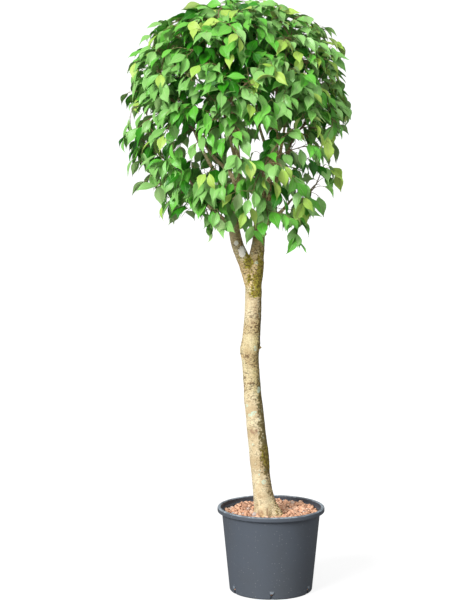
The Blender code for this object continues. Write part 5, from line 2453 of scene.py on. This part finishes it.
@dataclass
class Foliage:
    """The leaves of every spray and their stalks: each hangs out and down, and shows its upper face."""

    skeleton: Skeleton
    room: LimbRoom
    form: BladeForm = field(default_factory=BladeForm)
    seed: int = 8
    length: Pair = (0.060, 0.079)
    slimness: Pair = (0.232, 0.280)
    internode: float = 0.022
    most_leaves: int = 9
    stalk: float = 0.011
    stalk_radius: float = 0.0008
    stalk_tip_radius: float = 0.0006
    stalk_sag: float = 0.0016
    stalk_overlap: float = 0.002
    # The way a leaf points: shares outwards, to one side of its twig and along it. The way it faces: shares
    # outwards and up, and how far chance may turn it.
    pointing: Triple = (0.64, 0.76, 0.30)
    facing: Pair = (0.50, 0.85)
    facing_play: float = 0.72
    # How steeply leaves point down at the crown's middle, how much less so above it, more so below it, and
    # how far chance may change that.
    fall: float = 0.66
    fall_above: float = 0.36
    fall_below: float = 0.45
    fall_play: float = 0.34
    # Where along its length a leaf's heart lies, and how far it keeps from the limbs.
    heart: float = 0.45
    clearance: float = 0.006
    tries: int = 12
    spacing: float = 0.0142
    reach: float = 1.04
    strays: tuple[float, ...] = (0.0, 0.0, 0.035, 0.075)
    bald: float = 0.085
    box_play: float = 0.010
    # The chances of the deep, middling and fresh tints inside the crown, and in its outer part. The deep
    # tint, most of the inside, is partly painted shade.
    tint_weights: tuple[Triple, Triple] = ((0.84, 0.16, 0.00), (0.06, 0.36, 0.58))
    outer_from: float = 0.8
    young_chance: float = 0.25
    young_lean: float = 2.0
    fading_chance: float = 0.004
    # Open places and notches of the outline, as seen from the front: their middle on the upright plane
    # through the trunk, and their radius.
    openings: tuple[Triple, ...] = (
        (0.151, 1.325, 0.036), (0.191, 1.277, 0.028), (0.001, 1.338, 0.018), (0.034, 1.449, 0.024),
        (0.092, 1.462, 0.032), (0.111, 1.529, 0.027), (-0.204, 1.254, 0.024), (-0.286, 1.206, 0.044),
        (-0.243, 1.204, 0.028), (0.000, 1.200, 0.022), (-0.390, 1.306, 0.022), (-0.132, 1.487, 0.013),
        (-0.226, 1.610, 0.016), (-0.336, 1.665, 0.015), (-0.119, 1.610, 0.012), (-0.038, 1.600, 0.010),
        (-0.491, 1.677, 0.032), (-0.505, 1.555, 0.048), (-0.409, 1.283, 0.050), (-0.428, 1.371, 0.024),
        (0.248, 1.462, 0.042), (0.171, 1.879, 0.036), (0.152, 1.912, 0.030), (-0.498, 1.630, 0.020),
        (-0.342, 1.911, 0.030),
    )
    sight: Triple = (-0.111, -5.0, 1.400)
    blades: dict[Tint, list[Blade]] = field(default_factory=lambda: {tint: [] for tint in Tint})
    stalks: TubeBundle = field(default_factory=TubeBundle)

    def __post_init__(self) -> None:
        """Starts the record of where leaves hang."""
        self.rng = random.Random(self.seed)
        self.taken = np.full((6000, 3), 9.0)
        self.count = 0

    def pose(self, point: Vector, ahead: Vector, side: float, freedom: float) -> Pose:
        """The way a leaf points and faces: out and down, to one side of its twig, upper face outwards.

        Args:
            point: Where the leaf grows.
            ahead: The way its twig heads.
            side: 1 or -1 for the side of the twig, nearer 0 at its tip.
            freedom: How far chance may turn it.

        Returns:
            Its direction and its normal.
        """
        crown, rng = self.skeleton.crown, self.rng
        out = Vector((point.x - crown.centre[0], point.y - crown.centre[1], 0.0))
        out = out.normalized() if out.length > self.bald else bearing_vector(rng.uniform(0, 360))
        height = max(-1.0, min(1.0, (point.z - crown.centre[2]) / crown.rise))
        fall = self.fall - (self.fall_above if height > 0 else self.fall_below) * height
        fall += rng.uniform(-self.fall_play, self.fall_play)
        across = ahead.cross(UP)
        across = across.normalized() if across.length > 0.2 else bearing_vector(rng.uniform(0, 360))
        outward, sideways, onward = self.pointing
        along = out * outward - UP * fall + across * side * sideways + ahead * onward
        along += Vector([rng.uniform(-freedom, freedom) for _ in range(3)])
        along.normalize()
        play = Vector([rng.uniform(-self.facing_play, self.facing_play) for _ in range(3)])
        normal = out * self.facing[0] + UP * self.facing[1] + play
        normal -= along * normal.dot(along)
        if normal.z < -0.05:
            normal = -normal
        return along, normal.normalized()

    def in_opening(self, point: Vector) -> bool:
        """Whether a point lies in one of the open places, as seen from the front.

        Args:
            point: The point.

        Returns:
            True if it does.
        """
        scale = -self.sight[1] / (point.y - self.sight[1])
        x = self.sight[0] + (point.x - self.sight[0]) * scale
        z = self.sight[2] + (point.z - self.sight[2]) * scale
        return any(math.hypot(x - place[0], z - place[1]) < place[2] for place in self.openings)

    def fits(self, root: Vector, along: Vector, length: float, reach: float) -> bool:
        """Whether a leaf keeps within the crown, clear of the limbs and apart from other leaves.

        Args:
            root: Where its blade starts.
            along: The way it points.
            length: Its length.
            reach: How far out it may stand, as a share of the crown's reach.

        Returns:
            True if it fits.
        """
        heart, tip = root + along * length * self.heart, root + along * length
        if self.skeleton.crown.overhang(tip) > reach or self.skeleton.crown.overhang(heart) > reach:
            return False
        lowest, highest = CAD_BOX
        if any(not lowest[k] - self.box_play < tip[k] < highest[k] + self.box_play for k in range(3)):
            return False
        if self.in_opening(heart) or self.in_opening(tip):
            return False
        if not self.room.clear([heart, tip], self.clearance):
            return False
        near = np.abs(self.taken[: self.count] - np.array(heart)).sum(axis=1) < 2 * self.spacing
        apart = np.linalg.norm(self.taken[: self.count][near] - np.array(heart), axis=1)
        return not np.any(apart < self.spacing)

    def hang(self, spray: Spray, tints: Sequence[Tint]) -> None:
        """Hangs leaves along a spray, by turns on either side, from its tip back.

        Args:
            spray: The twig that bears them.
            tints: The tint of each, from the tip back. The last serves for the rest.
        """
        rng, path = self.rng, spray.path
        span = length_of(path)
        count = min(self.most_leaves, 1 + int(span * (1 - spray.bare) / self.internode))
        reach = max(self.reach + rng.choice(self.strays), self.skeleton.crown.overhang(path[-1]) + 0.12)
        for n in range(count):
            share = max(spray.bare, 0.985 - n * self.internode / span - rng.uniform(0.0, 0.03))
            point = on_path(path, share)
            ahead = (on_path(path, min(1.0, share + 0.02)) - on_path(path, share - 0.02)).normalized()
            side = (1.0 if n % 2 else -1.0) * (1.0 if n else 0.3)
            length = rng.uniform(*self.length) * (1.0 if n else 0.9)
            for attempt in range(self.tries):
                along, normal = self.pose(point, ahead, side, 0.25 + 0.9 * attempt / self.tries)
                lean = (along * 0.6 + ahead * 0.35 + normal * 0.35).normalized()
                root = point + lean * self.stalk
                if self.fits(root, along, length, reach):
                    self.add_leaf(point, root, (along, normal), length, tints[min(n, len(tints) - 1)])
                    break

    def add_leaf(self, point: Vector, root: Vector, pose: Pose, length: float, tint: Tint) -> None:
        """Adds one leaf and its stalk.

        Args:
            point: Where its stalk leaves the twig.
            root: Where its blade starts.
            pose: The way it points, and the way its upper face looks.
            length: Its length.
            tint: Its tint.
        """
        rng, (along, normal) = self.rng, pose
        if rng.random() < self.fading_chance and tint is Tint.DEEP:
            tint = Tint.FADING
        half_width = length * rng.uniform(*self.slimness)
        bends = {name: rng.uniform(*span) for name, span in self.form.bends}
        self.blades[tint].append(Blade(root, along, normal, length, half_width, **bends, tone=rng.random()))
        self.taken[self.count] = root + along * length * self.heart
        self.count += 1
        sag = (point + root) / 2 + normal * self.stalk_sag
        radii = taper(self.stalk_radius, self.stalk_tip_radius, 3)
        self.stalks.add([point, sag, root + along * self.stalk_overlap], radii, 3, (0.0, 1.0))

    def tints_of(self, spray: Spray) -> list[Tint]:
        """The tints of a spray's leaves: one for most, and now and then newly opened ones at its tip.

        Args:
            spray: The twig that bears them.

        Returns:
            The tint of each leaf, from the tip back.
        """
        tip = spray.path[-1]
        depth = self.skeleton.crown.overhang(tip)
        outer = depth > self.outer_from
        main = self.rng.choices((Tint.DEEP, Tint.MID, Tint.FRESH), self.tint_weights[outer])[0]
        chance = self.young_chance * (1.0 + self.young_lean * (tip.x - self.skeleton.crown.centre[0]))
        young = outer and self.rng.random() < chance
        return [Tint.LIME] * self.rng.choice((1, 1, 2)) + [Tint.FRESH, main] if young else [main]

    def build(self, sprays: Sequence[Spray], tints: dict[Tint, Material], stalk: Material) -> list[Piece]:
        """Makes the leaves, a piece for each tint, and their stalks, and hands them over.

        Args:
            sprays: The twigs that bear leaves.
            tints: The material of each tint.
            stalk: The stalks' material.

        Returns:
            The pieces.
        """
        for spray in sprays:
            self.hang(spray, self.tints_of(spray))
        nodes = self.skeleton.leaf_nodes()
        cells, corners = self.form.faces(), len(self.form.map())
        pieces = []
        for tint, blades in self.blades.items():
            if not blades:
                continue
            points = self.form.points(blades)
            faces = [tuple(n * corners + k for k in cell) for n in range(len(blades)) for cell in cells]
            tones = np.repeat([blade.tone for blade in blades], corners)
            uv = np.tile(self.form.map(), (len(blades), 1))
            piece = mesh_from_arrays(f"leaves_{tint.value}", points, faces, {"tone": tones}, uv)
            hand_over(piece, nodes, tints[tint])
            LOG.info("%s: %d leaves", piece.name, len(blades))
            pieces.append(piece)
        stalks = self.stalks.build("leaf_stalks")
        hand_over(stalks, nodes, stalk)
        return [*pieces, stalks]


# ---- Studio ----


@dataclass
class Studio:
    """A pale floor out to the horizon, soft daylight from the front left, and the camera."""

    floor_radius: float = 60.0
    floor_sides: int = 128
    inset_share: float = 0.9
    horizon: float = 0.15
    zenith: float = 0.56
    backdrop: float = 1.10
    lamp_distance: float = 6.0
    sun: float = 3.65
    sun_spread: float = 28.0
    sun_height: float = 27.0
    sun_bearing: float = -130.0
    fill: float = 0.95
    fill_spread: float = 70.0
    fill_height: float = 22.0
    fill_bearing: float = -62.0
    camera_place: Triple = (-0.111, -5.0, 1.40)
    camera_tilt: float = 4.965
    lens: float = 91.86
    sensor: float = 36.0

    def floor(self, finish: Material) -> Piece:
        """The floor: a disc with a finer middle.

        Args:
            finish: The floor's material.

        Returns:
            The floor.
        """
        floor = disc(self.floor_sides, self.floor_radius)
        with editing(floor):
            bpy.ops.mesh.inset(thickness=self.floor_radius * self.inset_share)
        settle(floor, "studio_floor")
        floor.data.materials.append(finish)
        return floor

    def lamp(self, name: str, power: float, spread: float, height: float, bearing: float) -> None:
        """Adds a broad lamp that shines from a long way off.

        Args:
            name: The lamp's name.
            power: Its strength.
            spread: How broad it looks, in degrees.
            height: How high it stands over the horizon, in degrees.
            bearing: The level direction that it stands in, in degrees.
        """
        deselect_all()
        aim = bearing_vector(bearing) * math.cos(math.radians(height)) + UP * math.sin(math.radians(height))
        turn = aim.to_track_quat("Z", "Y").to_euler()
        bpy.ops.object.light_add(type="SUN", location=aim * self.lamp_distance, rotation=turn)
        lamp = bpy.context.object
        lamp.name = name
        lamp.data.energy = power
        lamp.data.angle = math.radians(spread)

    def light(self) -> None:
        """A broad sun, a weaker one that fills the shade, and a sky that is brighter to the camera."""
        self.lamp("key_light", self.sun, self.sun_spread, self.sun_height, self.sun_bearing)
        self.lamp("fill_light", self.fill, self.fill_spread, self.fill_height, self.fill_bearing)
        world = bpy.data.worlds.new("studio")
        world.use_nodes = True
        wiring = Wiring(world.node_tree)
        seen = wiring.node("ShaderNodeLightPath").outputs["Is Camera Ray"]
        facing = wiring.node("ShaderNodeTexCoord").outputs["Generated"]
        height = wiring.node("ShaderNodeSeparateXYZ", None, Vector=facing).outputs["Z"]
        climb = wiring.remap(height, 0.0, 1.0)
        sky = wiring.mix(climb, (self.horizon,) * 3, (self.zenith,) * 3)
        shade = wiring.mix(seen, sky, (self.backdrop,) * 3)
        wiring.feed(world.node_tree.nodes["Background"].inputs["Color"], shade)
        bpy.context.scene.world = world

    def camera(self) -> None:
        """The camera, a little to the left of the plant and looking slightly down."""
        deselect_all()
        tilt = math.radians(90.0 - self.camera_tilt)
        bpy.ops.object.camera_add(location=self.camera_place, rotation=(tilt, 0.0, 0.0))
        camera = bpy.context.object
        camera.data.lens = self.lens
        camera.data.sensor_width = self.sensor
        bpy.context.scene.camera = camera

    def build(self, finish: Material) -> None:
        """Sets up floor, light and camera.

        Args:
            finish: The floor's material.
        """
        self.floor(finish)
        self.light()
        self.camera()
        bpy.context.scene.view_settings.view_transform = "Standard"


# ---- The whole ----


def write_sizes() -> None:
    """Updates the view layer."""
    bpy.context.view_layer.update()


def main() -> None:
    """Builds the pot, the fill, the bark, the twigs and the leaves in turn, and the studio round them."""
    logging.basicConfig(level=logging.INFO, format="%(name)s: %(message)s")
    effects = Effects()
    skeleton = Skeleton()
    room = LimbRoom(skeleton)
    pot = Pot()
    pot.build(PlasticFinish().material(effects))
    GranuleFill(pot, skeleton).build(ClayFinish().material(effects))
    BarkSkin(skeleton, room).build(BarkFinish().material(effects))
    bundle, sprays = TwigGrowth(skeleton, room).grow()
    hand_over(bundle.build("twigs"), skeleton.leaf_nodes(), TwigFinish().material(effects))
    finishes = {finish.tint: finish.material(effects) for finish in LEAF_FINISHES}
    Foliage(skeleton, room).build(sprays, finishes, StalkFinish().material(effects))
    Studio().build(FloorFinish().material(effects))
    write_sizes()


if __name__ == "__main__":
    main()
